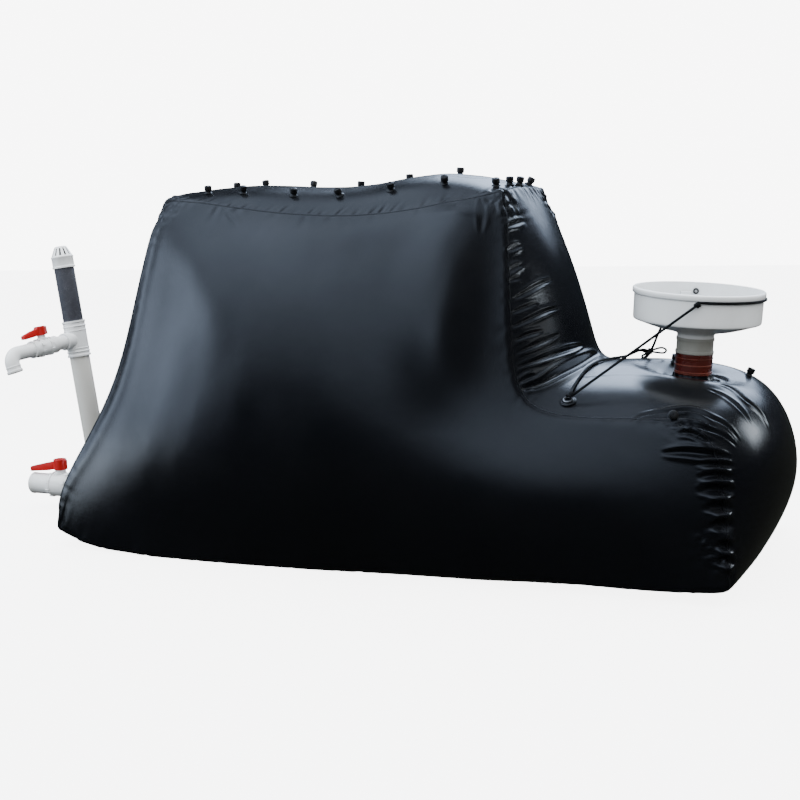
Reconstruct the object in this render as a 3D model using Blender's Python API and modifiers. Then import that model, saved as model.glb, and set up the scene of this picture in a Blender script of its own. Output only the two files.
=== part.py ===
"""Portable biogas digester: an inflated fabric tank with a hopper inlet and a valved outlet riser.

Metres, +Z up. X runs along the tank from the outlet end (-X) to the inlet end (+X), Y across it.
The origin is on the ground, under the middle of the tank.
"""
import math

import bmesh
import bpy
from mathutils import Matrix, Vector
from mathutils.bvhtree import BVHTree

# Clearances and sheet
GAP = 0.0003
SHEET = 0.008
SEAM_SHIFT = 0.0004

# Tank outline, seen from the side: (x, z) of each seam, the same on the near and the far side
BASE_HALF_WIDTH = 0.475
RIDGE_HALF_WIDTH = 0.195
RIDGE_HEIGHT = 1.14
SLOPE_SEAM = [(-1.180, 0.050), (-1.165, 0.185), (-1.060, 0.335), (-0.960, 0.495), (-0.915, 0.655),
              (-0.900, 0.815), (-0.885, 0.985), (-0.855, 1.143)]
STEP_COLUMN = [(0.42, 0.025), (0.43, 0.175), (0.44, 0.330), (0.445, 0.500), (0.408, 0.645),
               (0.388, 0.805), (0.365, 0.965), (0.335, 1.137)]
END_SEAM = [(1.062, 0.035), (1.045, 0.180), (1.022, 0.325), (1.0, 0.490)]
ROOF_SEAM_Z = [1.143, 1.111, 1.075, 1.063, 1.079, 1.137]
INLET_SEAM_Z = [0.500, 0.484, 0.494, 0.490]
FLOOR_SEAM = [(-1.180, 0.050), (-1.020, 0.004), (-0.600, 0.000), (-0.250, 0.006), (0.100, 0.012),
              (0.420, 0.026), (0.630, 0.028), (0.850, 0.027), (1.062, 0.035)]
FLOOR_BOW = [0.0, 0.030, 0.045, 0.015, 0.0, 0.0, 0.0, 0.0, 0.0]
STEP_ROW = 3
ACROSS = [-1.0, -0.72, -0.25, 0.25, 0.72, 1.0]

# How far each panel swells out of its seams
SIDE_BULGE = 0.125
SLOPE_BULGE = 0.075
ROOF_BULGE = 0.105
ROOF_CREST = [(-0.855, 1.0), (-0.617, 1.0), (-0.379, 0.78), (-0.141, 0.9), (0.097, 1.85), (0.335, 2.2)]
ROOF_END_CROWN = 0.012
ROOF_ENDS = [(0, 7), (5, 7)]
FOLD_BULGE = 0.150
FOLD_CREST = [(0.035, 1.5), (0.18, 1.5), (0.325, 1.28), (0.49, 0.82), (0.645, 0.83), (0.805, 0.82),
              (0.965, 0.95), (1.137, 1.1)]
DIMPLE_R = 0.17
DIMPLE_DEPTH = 0.066
FLOOR_BULGE = 0.080
SWELL_ROUNDS = 400

# Hopper and inlet pipe, along their own axis from where it meets the inlet roof
INLET_FOOT = (0.8545, 0.0)
INLET_LEAN_X = math.radians(4.3)
INLET_LEAN_Y = math.radians(1.0)
INLET_PIPE_R = 0.055
PIPE_WALL = 0.0032
INLET_DEPTH = 0.12
INLET_TOP = 0.088
SLEEVE_HEIGHT = 0.024
NECK_TOP = 0.136
NECK_SPIGOT = 0.040
BOWL_R = 0.188
BOWL_FLOOR = 0.188
BOWL_TOP = 0.281
LIP_HEIGHT = 0.016
LIP_OVERHANG = 0.0055
BOWL_WALL = 0.003
BLOCK_SIZE = (0.014, 0.032, 0.026)
BLOCK_ANGLE = math.radians(114.0)
BLOCK_HEIGHT = 0.239
EYELET_R = 0.007
EYELET_ANGLE = math.radians(104.0)
EYELET_HEIGHT = 0.253

# Guy line round the bowl: (x, y, lift) where it lies over the tank
LINE_R = 0.003
LINE_START = math.radians(-76.8)
LINE_END = math.radians(119.2)
KNOT_AT = (0.695, 0.130, 0.618)
LINE_OVER_TANK = [(0.676, 0.105, 0.020), (0.645, 0.060, 0.003), (0.622, -0.040, 0.002),
                  (0.600, -0.160, 0.002), (0.586, -0.270, 0.003), (0.580, -0.322, 0.007)]
ANCHOR_AT = (0.577, -0.359)
ANCHOR_R = 0.024
ANCHOR_THICK = 0.004
RING_R = 0.0125
RING_WIRE = 0.0025

# Outlet, lower tee and leaning riser: heights along the riser start at the lower tee's middle
OUTLET_Z = 0.088
OUTLET_PIPE_R = 0.036
RISER_X = -1.327
RISER_LEAN = math.radians(7.6)
SOCKET_WALL = 0.0035
TEE_SOCKET = 0.040
TEE_HALF = 0.066
LOWER_BRANCH = 0.078
RISER_TOP = 0.524
UPPER_TEE = (0.493, 0.624)
BRANCH_HEIGHT = 0.557
BRANCH_TURN = math.radians(82.0)
BRANCH_DROOP = math.radians(3.0)
BRANCH_SOCKET = 0.064
FILTER_TOP = 0.819
CAP_SKIRT = 0.043
CAP_HEIGHT = 0.080
CAP_TOP_R = 0.0215
CAP_WALL = 0.0026
CAP_SLOTS = 12
SLOT_WIDTH = 0.0055
BEAD = 0.0025
BEAD_LENGTH = 0.010

# Upper valve and spout, out along the upper tee's branch. A lever has a length, a thickness and a dip
BRANCH_R = 0.025
UPPER_VALVE = 0.164
UPPER_VALVE_HALF = 0.056
UPPER_VALVE_R = 0.0325
SPOUT_REACH = 0.325
SPOUT_BEND = 0.037
SPOUT_DROP = 0.064
SPOUT_TURN = math.radians(10.0)
SPOUT_MOUTH = 0.024
UPPER_BOSS = 0.043
UPPER_LEVER = (0.086, 0.8, 0.0035)

# Drain valve, straight on from the lower tee
DRAIN_R = 0.0315
DRAIN_VALVE_X = -1.515
DRAIN_VALVE_ENDS = (-0.085, 0.125)
DRAIN_VALVE_R = 0.046
DRAIN_BOSS = 0.058
DRAIN_LEVER = (0.133, 1.0, 0.0125)
LEVER_LIFT = 0.0006
HUB_R = 0.0242

FABRIC = ("fabric_black", (0.012, 0.013, 0.016), 0.25, 0.0)
BROWN = ("sewer_brown", (0.30, 0.06, 0.03), 0.45, 0.0)
WHITE = ("pipe_white", (0.78, 0.79, 0.80), 0.35, 0.0)
GREY = ("pipe_grey", (0.62, 0.62, 0.60), 0.45, 0.0)
CHARCOAL = ("filter_grey", (0.055, 0.058, 0.07), 0.7, 0.0)
RED = ("lever_red", (0.62, 0.02, 0.015), 0.35, 0.0)
CORD = ("cord_black", (0.01, 0.01, 0.011), 0.6, 0.0)
RUBBER = ("rubber_black", (0.02, 0.02, 0.02), 0.6, 0.0)
METAL = ("ring_metal", (0.35, 0.36, 0.38), 0.3, 1.0)


def clear_scene():
    for thing in list(bpy.data.objects):
        bpy.data.objects.remove(thing, do_unlink=True)


def new_collection(name):
    group = bpy.data.collections.new(name)
    bpy.context.scene.collection.children.link(group)
    return group


def material(name, colour, roughness, metallic):
    made = bpy.data.materials.get(name)
    if made is None:
        made = bpy.data.materials.new(name)
        made.use_nodes = True
        shader = made.node_tree.nodes["Principled BSDF"]
        shader.inputs["Base Color"].default_value = (*colour, 1.0)
        shader.inputs["Roughness"].default_value = roughness
        shader.inputs["Metallic"].default_value = metallic
    return made


def add_object(name, mesh, group, finish=None, parent=None):
    thing = bpy.data.objects.new(name, mesh)
    group.objects.link(thing)
    thing.parent = parent
    if finish:
        own = material(name + "_" + finish[0], *finish[1:])
        mesh.materials.append(own)
    return thing


def as_cutter(thing):
    thing.hide_render = True
    thing.display_type = "WIRE"
    return thing


def add_empty(name, group, location, rotation=(0.0, 0.0, 0.0), parent=None):
    empty = bpy.data.objects.new(name, None)
    group.objects.link(empty)
    empty.parent = parent
    empty.location = location
    empty.rotation_euler = rotation
    return empty


def mesh_from(bm, name):
    mesh = bpy.data.meshes.new(name)
    bm.to_mesh(mesh)
    bm.free()
    return mesh


def evaluated_mesh(thing):
    bpy.context.view_layer.update()
    graph = bpy.context.evaluated_depsgraph_get()
    return bpy.data.meshes.new_from_object(thing.evaluated_get(graph))


def boolean(thing, cutter, operation="DIFFERENCE"):
    cut = thing.modifiers.new(operation.lower(), "BOOLEAN")
    cut.operation = operation
    cut.solver = "EXACT"
    cut.object = cutter
    return thing


def settle(thing):
    """Bakes the modifiers of a solid into its own mesh."""
    mesh = evaluated_mesh(thing)
    thing.modifiers.clear()
    thing.data = mesh
    return thing


def half_width(z):
    """The tank narrows upwards, slowly at first."""
    return BASE_HALF_WIDTH - (BASE_HALF_WIDTH - RIDGE_HALF_WIDTH) * (max(z, 0.0) / RIDGE_HEIGHT) ** 2


def lerp(a, b, t):
    return (a[0] + (b[0] - a[0]) * t, a[1] + (b[1] - a[1]) * t)


def between(table, x):
    """The value at x on straight lines through a table of (x, value)."""
    for (x0, low), (x1, high) in zip(table, table[1:]):
        if x <= x1:
            return low + (high - low) * max(x - x0, 0.0) / (x1 - x0)
    return table[-1][1]


def side_outline():
    """(x, z) of each crossing of the side's columns and rows, by (column, row)."""
    tall = len(ROOF_SEAM_Z) - 1
    low = len(INLET_SEAM_Z) - 1
    grid = {}
    for row in range(len(SLOPE_SEAM)):
        for column in range(tall + 1):
            grid[column, row] = lerp(SLOPE_SEAM[row], STEP_COLUMN[row], column / tall)
    for row in range(STEP_ROW + 1):
        for column in range(1, low + 1):
            grid[tall + column, row] = lerp(STEP_COLUMN[row], END_SEAM[row], column / low)
    for column, z in enumerate(ROOF_SEAM_Z):
        grid[column, len(SLOPE_SEAM) - 1] = (grid[column, len(SLOPE_SEAM) - 1][0], z)
    for column, z in enumerate(INLET_SEAM_Z):
        grid[tall + column, STEP_ROW] = (grid[tall + column, STEP_ROW][0], z)
    for column, point in enumerate(FLOOR_SEAM):
        grid[column, 0] = point
    return grid


def add_lattice(bm, rows, panel, layer):
    """Quads over a grid of points; the panel's number is kept on each face."""
    corners = [[bm.verts.new(point) for point in row] for row in rows]
    for below, above in zip(corners, corners[1:]):
        for k in range(len(below) - 1):
            face = bm.faces.new((below[k], below[k + 1], above[k + 1], above[k]))
            face[layer] = panel


def wide(grid, key):
    """Half of the tank's width at one place along the outline: the floor seam bows out a little."""
    column, row = key
    return half_width(grid[key][1]) + (FLOOR_BOW[column] if row == 0 else 0.0)


def across(grid, key):
    """The points from the near seam to the far seam at one place along the outline."""
    x, z = grid[key]
    half = wide(grid, key)
    rise = ROOF_END_CROWN if key in ROOF_ENDS else 0.0
    return [(x, half * t, z + rise * (1.0 - t * t)) for t in ACROSS]


PANELS = ["side_panel_front", "side_panel_back", "slope_panel", "roof_panel",
          "step_panel", "inlet_roof_panel", "inlet_end_panel", "floor_panel"]
SWELL_GROUPS = [((0,), SIDE_BULGE), ((1,), SIDE_BULGE), ((2,), SLOPE_BULGE), ((3,), ROOF_BULGE),
                ((4, 5, 6), FOLD_BULGE), ((7,), FLOOR_BULGE)]
SWELL_OF = {panel: number for number, (panels, _) in enumerate(SWELL_GROUPS) for panel in panels}


def tank_cage():
    """The closed coarse cage of the tank, flat between its seams."""
    grid = side_outline()
    tall = len(ROOF_SEAM_Z) - 1
    end = tall + len(INLET_SEAM_Z) - 1
    top = len(SLOPE_SEAM) - 1
    bm = bmesh.new()
    layer = bm.faces.layers.int.new("panel")
    for side, sign in ((0, -1.0), (1, 1.0)):
        for rows, columns in ((range(STEP_ROW + 1), range(end + 1)),
                              (range(STEP_ROW, top + 1), range(tall + 1))):
            sheet = [[(grid[c, r][0], sign * wide(grid, (c, r)), grid[c, r][1])
                      for c in columns] for r in rows]
            add_lattice(bm, sheet, side, layer)
    runs = {2: [(0, r) for r in range(top + 1)],
            3: [(c, top) for c in range(tall + 1)],
            4: [(tall, r) for r in range(top, STEP_ROW - 1, -1)],
            5: [(c, STEP_ROW) for c in range(tall, end + 1)],
            6: [(end, r) for r in range(STEP_ROW, -1, -1)],
            7: [(c, 0) for c in range(end, -1, -1)]}
    for panel, run in runs.items():
        add_lattice(bm, [across(grid, key) for key in run], panel, layer)
    bmesh.ops.remove_doubles(bm, verts=bm.verts, dist=0.0001)
    bmesh.ops.recalc_face_normals(bm, faces=bm.faces)
    return bm


def swell_heights(inner, rounds):
    """Relaxed heights of a membrane that is pushed out evenly and held at its seams."""
    height = {vert: 0.0 for vert in inner}
    for _ in range(rounds):
        for vert in inner:
            around = [edge.other_vert(vert) for edge in vert.link_edges]
            height[vert] = sum(height.get(other, 0.0) for other in around) / len(around) + 1.0
    return height


def swell(bm):
    """Pushes each panel out between its seams."""
    layer = bm.faces.layers.int["panel"]
    bm.normal_update()
    moves = {}
    for number, (_, bulge) in enumerate(SWELL_GROUPS):
        inner = [v for v in bm.verts if all(SWELL_OF[f[layer]] == number for f in v.link_faces)]
        height = swell_heights(inner, SWELL_ROUNDS)
        most = max(height.values())
        for vert, value in height.items():
            reach = 1.0
            if number == SWELL_OF[4]:
                reach = between(FOLD_CREST, vert.co.z)
            if number == SWELL_OF[3]:
                reach = between(ROOF_CREST, vert.co.x)
            moves[vert] = vert.normal * (bulge * reach * value / most)
    for vert, move in moves.items():
        vert.co += move


def crease_seams(bm):
    layer = bm.faces.layers.int["panel"]
    crease = bm.edges.layers.float.new("crease_edge")
    for edge in bm.edges:
        one, two = edge.link_faces
        if SWELL_OF[one[layer]] != SWELL_OF[two[layer]]:
            edge[crease] = 1.0


def tank_form(group):
    """The tank's outer skin as one closed surface, flattened where it lies on the ground."""
    bm = tank_cage()
    swell(bm)
    crease_seams(bm)
    cage = add_object("tank_cage", mesh_from(bm, "tank_cage"), group)
    smooth = cage.modifiers.new("round", "SUBSURF")
    smooth.levels = 1
    smooth.render_levels = 1
    mesh = evaluated_mesh(cage)
    bpy.data.objects.remove(cage, do_unlink=True)
    bm = bmesh.new()
    bm.from_mesh(mesh)
    for vert in bm.verts:
        vert.co.z = max(vert.co.z - dimple(vert), 0.0)
    bmesh.ops.triangulate(bm, faces=bm.faces)
    return as_cutter(add_object("tank_form", mesh_from(bm, "tank_form"), group))


def dimple(vert):
    """The hopper's weight presses the inlet roof in around its pipe."""
    apart = math.dist((vert.co.x, vert.co.y), INLET_FOOT) / DIMPLE_R
    if vert.co.z < 0.3 or apart > 1.0:
        return 0.0
    return DIMPLE_DEPTH * (1.0 - apart ** 2) ** 2


def tank_cutter(form, group):
    """The outer skin, a hair larger, to cut what sits on it."""
    bm = bmesh.new()
    bm.from_mesh(form.data)
    bm.normal_update()
    grown = [(vert, vert.co + vert.normal * GAP) for vert in bm.verts]
    for vert, place in grown:
        vert.co = place
    return as_cutter(add_object("tank_cutter", mesh_from(bm, "tank_cutter"), group))


def panel_shell(form_bm, panel, name):
    """One panel of the skin as a sheet, mitred to its neighbours along the seams."""
    layer = form_bm.faces.layers.int["panel"]
    faces = [face for face in form_bm.faces if face[layer] == panel]
    outer, inner = {}, {}
    bm = bmesh.new()
    for vert in {vert for face in faces for vert in face.verts}:
        mine = [face for face in vert.link_faces if face[layer] == panel]
        place = vert.co.copy()
        if len(mine) < len(vert.link_faces):
            middle = sum((face.calc_center_median() for face in mine), Vector()) / len(mine)
            place += (middle - place).normalized() * SEAM_SHIFT
        outer[vert] = bm.verts.new(place)
        inner[vert] = bm.verts.new(place - vert.normal * SHEET)
    for face in faces:
        bm.faces.new([outer[vert] for vert in face.verts])
        bm.faces.new([inner[vert] for vert in reversed(face.verts)])
        for loop in face.loops:
            if loop.link_loop_radial_next.face[layer] != panel:
                a, b = loop.vert, loop.link_loop_next.vert
                add_rim(bm, (outer[b], outer[a], inner[a], inner[b]), a.index < b.index)
    return mesh_from(bm, name)


def add_rim(bm, ring, from_second):
    """A sheet's edge as two triangles, cut the same way on both sheets that meet there."""
    start = 1 if from_second else 0
    for step in (1, 2):
        bm.faces.new((ring[start], ring[(start + step) % 4], ring[(start + step + 1) % 4]))


def add_panels(form, group):
    form_bm = bmesh.new()
    form_bm.from_mesh(form.data)
    form_bm.normal_update()
    panels = {}
    for number, name in enumerate(PANELS):
        panels[name] = add_object(name, panel_shell(form_bm, number, name), group, FABRIC)
    form_bm.free()
    return panels


def skin_tree(form):
    bm = bmesh.new()
    bm.from_mesh(form.data)
    tree = BVHTree.FromBMesh(bm)
    bm.free()
    return tree


def turned(name, profile, group, finish=None, parent=None, steps=24):
    """A closed profile of (radius, height), outer side first from the top down, turned about Z."""
    bm = bmesh.new()
    ring = [bm.verts.new((radius, 0.0, height)) for radius, height in profile]
    for k, vert in enumerate(ring):
        follower = ring[(k + 1) % len(ring)]
        if vert.co.x > 0.0 or follower.co.x > 0.0:
            bm.edges.new((vert, follower))
    thing = add_object(name, mesh_from(bm, name), group, finish, parent)
    screw = thing.modifiers.new("turn", "SCREW")
    screw.axis = "Z"
    screw.steps = steps
    screw.render_steps = steps
    screw.use_merge_vertices = True
    screw.merge_threshold = 0.0001
    return thing


def tube_profile(radius, wall, bottom, top):
    return [(radius, top), (radius, bottom), (radius - wall, bottom), (radius - wall, top)]


def disc_profile(radius, bottom, top):
    return [(0.0, top), (radius, top), (radius, bottom), (0.0, bottom)]


def cord_path(name, points, radius, group, finish, resolution=2, swells=()):
    """A round cord through points, with filled ends. Swells scale the radius at the last points."""
    curve = bpy.data.curves.new(name, "CURVE")
    curve.dimensions = "3D"
    curve.bevel_depth = radius
    curve.bevel_resolution = resolution
    curve.use_fill_caps = True
    line = curve.splines.new("POLY")
    line.points.add(len(points) - 1)
    for spot, point in zip(line.points, points):
        spot.co = (*point, 1.0)
    for spot, swell_by in zip(reversed(line.points), swells):
        spot.radius = swell_by
    return add_object(name, curve, group, finish)


def smooth_route(points, per_span):
    """A Catmull-Rom curve through the route's points."""
    spots = [Vector(point) for point in points]
    spots = [2 * spots[0] - spots[1]] + spots + [2 * spots[-1] - spots[-2]]
    route = []
    for a, b, c, d in zip(spots, spots[1:], spots[2:], spots[3:]):
        for k in range(per_span):
            t = k / per_span
            route.append(0.5 * ((2 * b) + (c - a) * t + (2 * a - 5 * b + 4 * c - d) * t ** 2
                                + (3 * b - a - 3 * c + d) * t ** 3))
    return route + [spots[-2]]


def axis_frame(foot, direction):
    """A frame whose Z runs along a direction."""
    turn = Vector(direction).to_track_quat("Z", "Y").to_matrix().to_4x4()
    return Matrix.Translation(foot) @ turn


def drop_on(tree, place):
    """Where a line straight down meets the tank's skin, and the skin's normal there."""
    spot, normal, _, _ = tree.ray_cast(Vector((*place, 2.0)), Vector((0.0, 0.0, -1.0)))
    return spot, normal


def over_skin(tree, x, y, above):
    spot, normal = drop_on(tree, (x, y))
    return spot + normal * above


def joined(first, pieces, operation="UNION"):
    """Works pieces into a solid with Booleans, then removes them."""
    for piece in pieces:
        boolean(first, piece, operation)
    settle(first)
    for piece in pieces:
        bpy.data.objects.remove(piece, do_unlink=True)
    return first


def placed(thing, frame):
    thing.matrix_world = frame
    return thing


def add_inlet(panels, tree, cutter, group, cutters):
    """Sleeve, sewer pipe, neck and hopper bowl, leaning together."""
    foot, _ = drop_on(tree, INLET_FOOT)
    axis = add_empty("inlet_axis", group, foot, (INLET_LEAN_Y, INLET_LEAN_X, 0.0))
    hole = turned("inlet_hole", disc_profile(INLET_PIPE_R + GAP, -0.08, 0.08), cutters,
                  parent=axis, steps=32)
    boolean(panels["inlet_roof_panel"], as_cutter(hole))
    turned("inlet_pipe", tube_profile(INLET_PIPE_R, PIPE_WALL, -INLET_DEPTH, INLET_TOP),
           group, BROWN, axis, 32)
    sleeve = turned("inlet_sleeve", [
        (INLET_PIPE_R + 0.0035, SLEEVE_HEIGHT), (INLET_PIPE_R + 0.005, SLEEVE_HEIGHT * 0.5),
        (INLET_PIPE_R + 0.014, 0.010), (INLET_PIPE_R + 0.026, 0.005),
        (INLET_PIPE_R + 0.026, -0.020), (INLET_PIPE_R + GAP, -0.020),
        (INLET_PIPE_R + GAP, SLEEVE_HEIGHT)], group, FABRIC, axis, 32)
    boolean(sleeve, cutter)
    neck = INLET_PIPE_R - 0.0005
    spigot = INLET_PIPE_R - PIPE_WALL - GAP
    turned("hopper_neck", [
        (neck, NECK_TOP), (neck, INLET_TOP + GAP), (spigot, INLET_TOP + GAP),
        (spigot, INLET_TOP - NECK_SPIGOT), (spigot - PIPE_WALL, INLET_TOP - NECK_SPIGOT),
        (spigot - PIPE_WALL, NECK_TOP)], group, WHITE, axis, 32)
    add_bowl(axis, neck, group)
    return axis


def add_bowl(axis, neck, group):
    """The wide hopper, with its lip, and the block and eyelet on its inner wall."""
    foot = NECK_TOP + GAP
    lip = BOWL_R + LIP_OVERHANG
    inside = BOWL_R - BOWL_WALL
    turned("hopper_bowl", [
        (lip, BOWL_TOP - 0.003), (lip, BOWL_TOP - LIP_HEIGHT),
        (BOWL_R + 0.0012, BOWL_TOP - LIP_HEIGHT), (BOWL_R, BOWL_FLOOR),
        (BOWL_R * 0.72, BOWL_FLOOR - 0.018), (neck * 1.45, foot + 0.014), (neck, foot),
        (neck - 0.006, foot), (neck * 1.40, foot + 0.019),
        (BOWL_R * 0.70, BOWL_FLOOR - 0.014), (inside, BOWL_FLOOR + 0.004),
        (inside, BOWL_TOP), (lip - 0.003, BOWL_TOP)], group, WHITE, axis, 40)
    depth, width, height = BLOCK_SIZE
    bm = bmesh.new()
    bmesh.ops.create_cube(bm, size=1.0, matrix=Matrix.Diagonal((depth, width, height, 1.0)))
    bmesh.ops.bevel(bm, geom=bm.edges, offset=0.002, segments=1, affect="EDGES")
    block = add_object("hopper_block", mesh_from(bm, "hopper_block"), group, WHITE, axis)
    block.location = polar(BLOCK_ANGLE, inside - depth / 2 - 0.0012, BLOCK_HEIGHT)
    block.rotation_euler = (0.0, 0.0, BLOCK_ANGLE)
    eyelet = turned("hopper_eyelet", tube_profile(EYELET_R, 0.003, -0.002, 0.002),
                    group, RUBBER, axis, 16)
    eyelet.location = polar(EYELET_ANGLE, inside - 0.0036, EYELET_HEIGHT)
    eyelet.rotation_euler = (0.0, math.radians(90.0), EYELET_ANGLE)


def polar(angle, radius, height):
    return (radius * math.cos(angle), radius * math.sin(angle), height)


def add_anchor(tree, cutter, group):
    """The welded patch on the tank and the ring that lies on it. Returns where the cord ties on."""
    spot, normal = drop_on(tree, ANCHOR_AT)
    patch = turned("anchor_patch", disc_profile(ANCHOR_R, -0.012, ANCHOR_THICK), group, FABRIC, steps=20)
    boolean(placed(patch, axis_frame(spot, normal)), cutter)
    middle = spot + normal * (ANCHOR_THICK + GAP + RING_WIRE)
    turns = [math.radians(90.0 - 45.0 * k) for k in range(8)]
    wire = [(RING_R + RING_WIRE * math.cos(a), RING_WIRE * math.sin(a)) for a in turns]
    placed(turned("anchor_ring", wire, group, METAL, steps=16), axis_frame(middle, normal))
    return middle + normal * (RING_WIRE + LINE_R + GAP)


def add_guy_line(axis, tie, tree, group):
    """The cord from its anchor to the bowl, round under the lip and back over the tank."""
    bpy.context.view_layer.update()
    reach = BOWL_R + 0.002 + LINE_R + GAP
    height = BOWL_TOP - LIP_HEIGHT - LINE_R - GAP
    band = [axis.matrix_world @ Vector(polar(LINE_START + (LINE_END - LINE_START) * k / 24, reach, height))
            for k in range(25)]
    start = tie + Vector((0.010, 0.002, 0.004))
    knot = Vector(KNOT_AT)
    back = [band[-1], band[-1].lerp(knot, 0.35), band[-1].lerp(knot, 0.7), knot]
    back += [over_skin(tree, x, y, LINE_R + lift) for x, y, lift in LINE_OVER_TANK]
    route = [start.lerp(band[0], t) for t in (0.0, 0.25, 0.5, 0.75)]
    route += band[:-1] + smooth_route(back + [tie + Vector((-0.004, 0.006, 0.004))], 4)
    cord_path("guy_line", route, LINE_R, group, CORD)


def beaded(name, radius, ends, group, finish=None):
    """A fitting's outer body: a solid cylinder with a raised bead at each socket mouth."""
    low, high = ends
    bead = radius + BEAD
    profile = [(0.0, high), (bead, high), (bead, high - BEAD_LENGTH), (radius, high - BEAD_LENGTH),
               (radius, low + BEAD_LENGTH), (bead, low + BEAD_LENGTH), (bead, low), (0.0, low)]
    return turned(name, profile, group, finish)


def rod(name, radius, low, high, group, steps=24):
    return turned(name, disc_profile(radius, low, high), group, steps=steps)


def add_outlet(panels, tree, cutter, group, cutters):
    """Outlet pipe, collar and lower tee on one level axis, which runs towards -X."""
    level = Matrix.Translation((RISER_X, 0.0, OUTLET_Z)) @ Matrix.Rotation(math.radians(-90.0), 4, "Y")
    skin = tree.ray_cast(Vector((-2.0, 0.0, OUTLET_Z)), Vector((1.0, 0.0, 0.0)))[0]
    reach = RISER_X - skin.x
    bore = OUTLET_PIPE_R + GAP
    hole = placed(rod("outlet_hole", bore, reach - 0.12, reach + 0.08, cutters), level)
    boolean(panels["slope_panel"], as_cutter(hole))
    boolean(panels["floor_panel"], hole)
    pipe = tube_profile(OUTLET_PIPE_R, PIPE_WALL, reach - 0.09, -TEE_SOCKET)
    placed(turned("outlet_pipe", pipe, group, GREY), level)
    collar = turned("outlet_collar", [
        (bore + 0.0035, reach + 0.030), (bore + 0.005, reach + 0.016),
        (bore + 0.022, reach + 0.008), (bore + 0.022, reach - 0.030),
        (bore, reach - 0.030), (bore, reach + 0.030)], group, FABRIC)
    boolean(placed(collar, level), cutter)
    outside = OUTLET_PIPE_R + SOCKET_WALL
    tee = placed(beaded("outlet_tee", outside, (-TEE_HALF, TEE_HALF), group, WHITE), level)
    branch = placed(beaded("tee_branch", outside - 0.0008, (-0.02, LOWER_BRANCH), cutters), riser_frame())
    joined(tee, [branch])
    run = placed(rod("tee_bore", bore, -TEE_HALF - 0.01, TEE_HALF + 0.01, cutters), level)
    top = LOWER_BRANCH + 0.01
    up = placed(turned("tee_bore_up", [
        (0.0, top), (bore, top), (bore, TEE_SOCKET), (bore - PIPE_WALL, TEE_SOCKET),
        (bore - PIPE_WALL, 0.0), (0.0, 0.0)], cutters), riser_frame())
    joined(tee, [joined(run, [up])], "DIFFERENCE")
    return level


def riser_frame():
    """The riser leans away from the tank; its axis starts at the lower tee."""
    return Matrix.Translation((RISER_X, 0.0, OUTLET_Z)) @ Matrix.Rotation(-RISER_LEAN, 4, "Y")


def add_riser(group, cutters):
    """Riser pipe, upper tee, filter tube and slotted vent cap."""
    frame = riser_frame()
    placed(turned("riser_pipe", tube_profile(OUTLET_PIPE_R, PIPE_WALL, OUTLET_PIPE_R + 0.006, RISER_TOP),
                  group, GREY), frame)
    low, high = UPPER_TEE
    bore = OUTLET_PIPE_R + GAP
    tee = placed(beaded("vent_tee", OUTLET_PIPE_R + SOCKET_WALL, (low, high), group, WHITE), frame)
    out = (frame @ Matrix.Translation((0.0, 0.0, BRANCH_HEIGHT)) @ Matrix.Rotation(BRANCH_TURN, 4, "Z")
           @ Matrix.Rotation(-math.radians(90.0) - BRANCH_DROOP, 4, "Y"))
    socket = placed(beaded("branch_socket", BRANCH_R + SOCKET_WALL, (0.02, BRANCH_SOCKET), cutters), out)
    joined(tee, [socket])
    run = placed(rod("vent_bore", bore, low - 0.01, high + 0.01, cutters), frame)
    side = placed(rod("vent_bore_side", BRANCH_R + GAP, 0.0, BRANCH_SOCKET + 0.01, cutters), out)
    joined(tee, [joined(run, [side])], "DIFFERENCE")
    tube = tube_profile(OUTLET_PIPE_R, PIPE_WALL, high - TEE_SOCKET, FILTER_TOP + 0.026)
    placed(turned("filter_tube", tube, group, CHARCOAL), frame)
    add_vent_cap(frame, group, cutters)
    return out


def add_vent_cap(frame, group, cutters):
    """A cap with a straight skirt and a slotted cone."""
    bore = OUTLET_PIPE_R + GAP
    foot, shoulder, top = FILTER_TOP, FILTER_TOP + CAP_SKIRT, FILTER_TOP + CAP_HEIGHT
    cap = turned("vent_cap", [
        (0.0, top), (CAP_TOP_R - 0.004, top), (CAP_TOP_R, top - 0.004), (bore + CAP_WALL, shoulder),
        (bore + CAP_WALL, foot), (bore, foot), (bore, shoulder - 0.002),
        (CAP_TOP_R - 0.003, top - 0.006), (0.0, top - 0.006)], group, WHITE)
    placed(cap, frame)
    bm = bmesh.new()
    reach = bore + CAP_WALL - CAP_TOP_R + 0.02
    for k in range(CAP_SLOTS):
        turn = Matrix.Rotation(2 * math.pi * k / CAP_SLOTS, 4, "Z")
        size = Matrix.Diagonal((reach, SLOT_WIDTH, top - shoulder - 0.012, 1.0))
        spot = Matrix.Translation((CAP_TOP_R + reach / 2 - 0.006, 0.0, (top + shoulder) / 2 - 0.002))
        bmesh.ops.create_cube(bm, size=1.0, matrix=turn @ spot @ size)
    slots = add_object("cap_slots", mesh_from(bm, "cap_slots"), cutters)
    joined(cap, [placed(slots, frame)], "DIFFERENCE")


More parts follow.
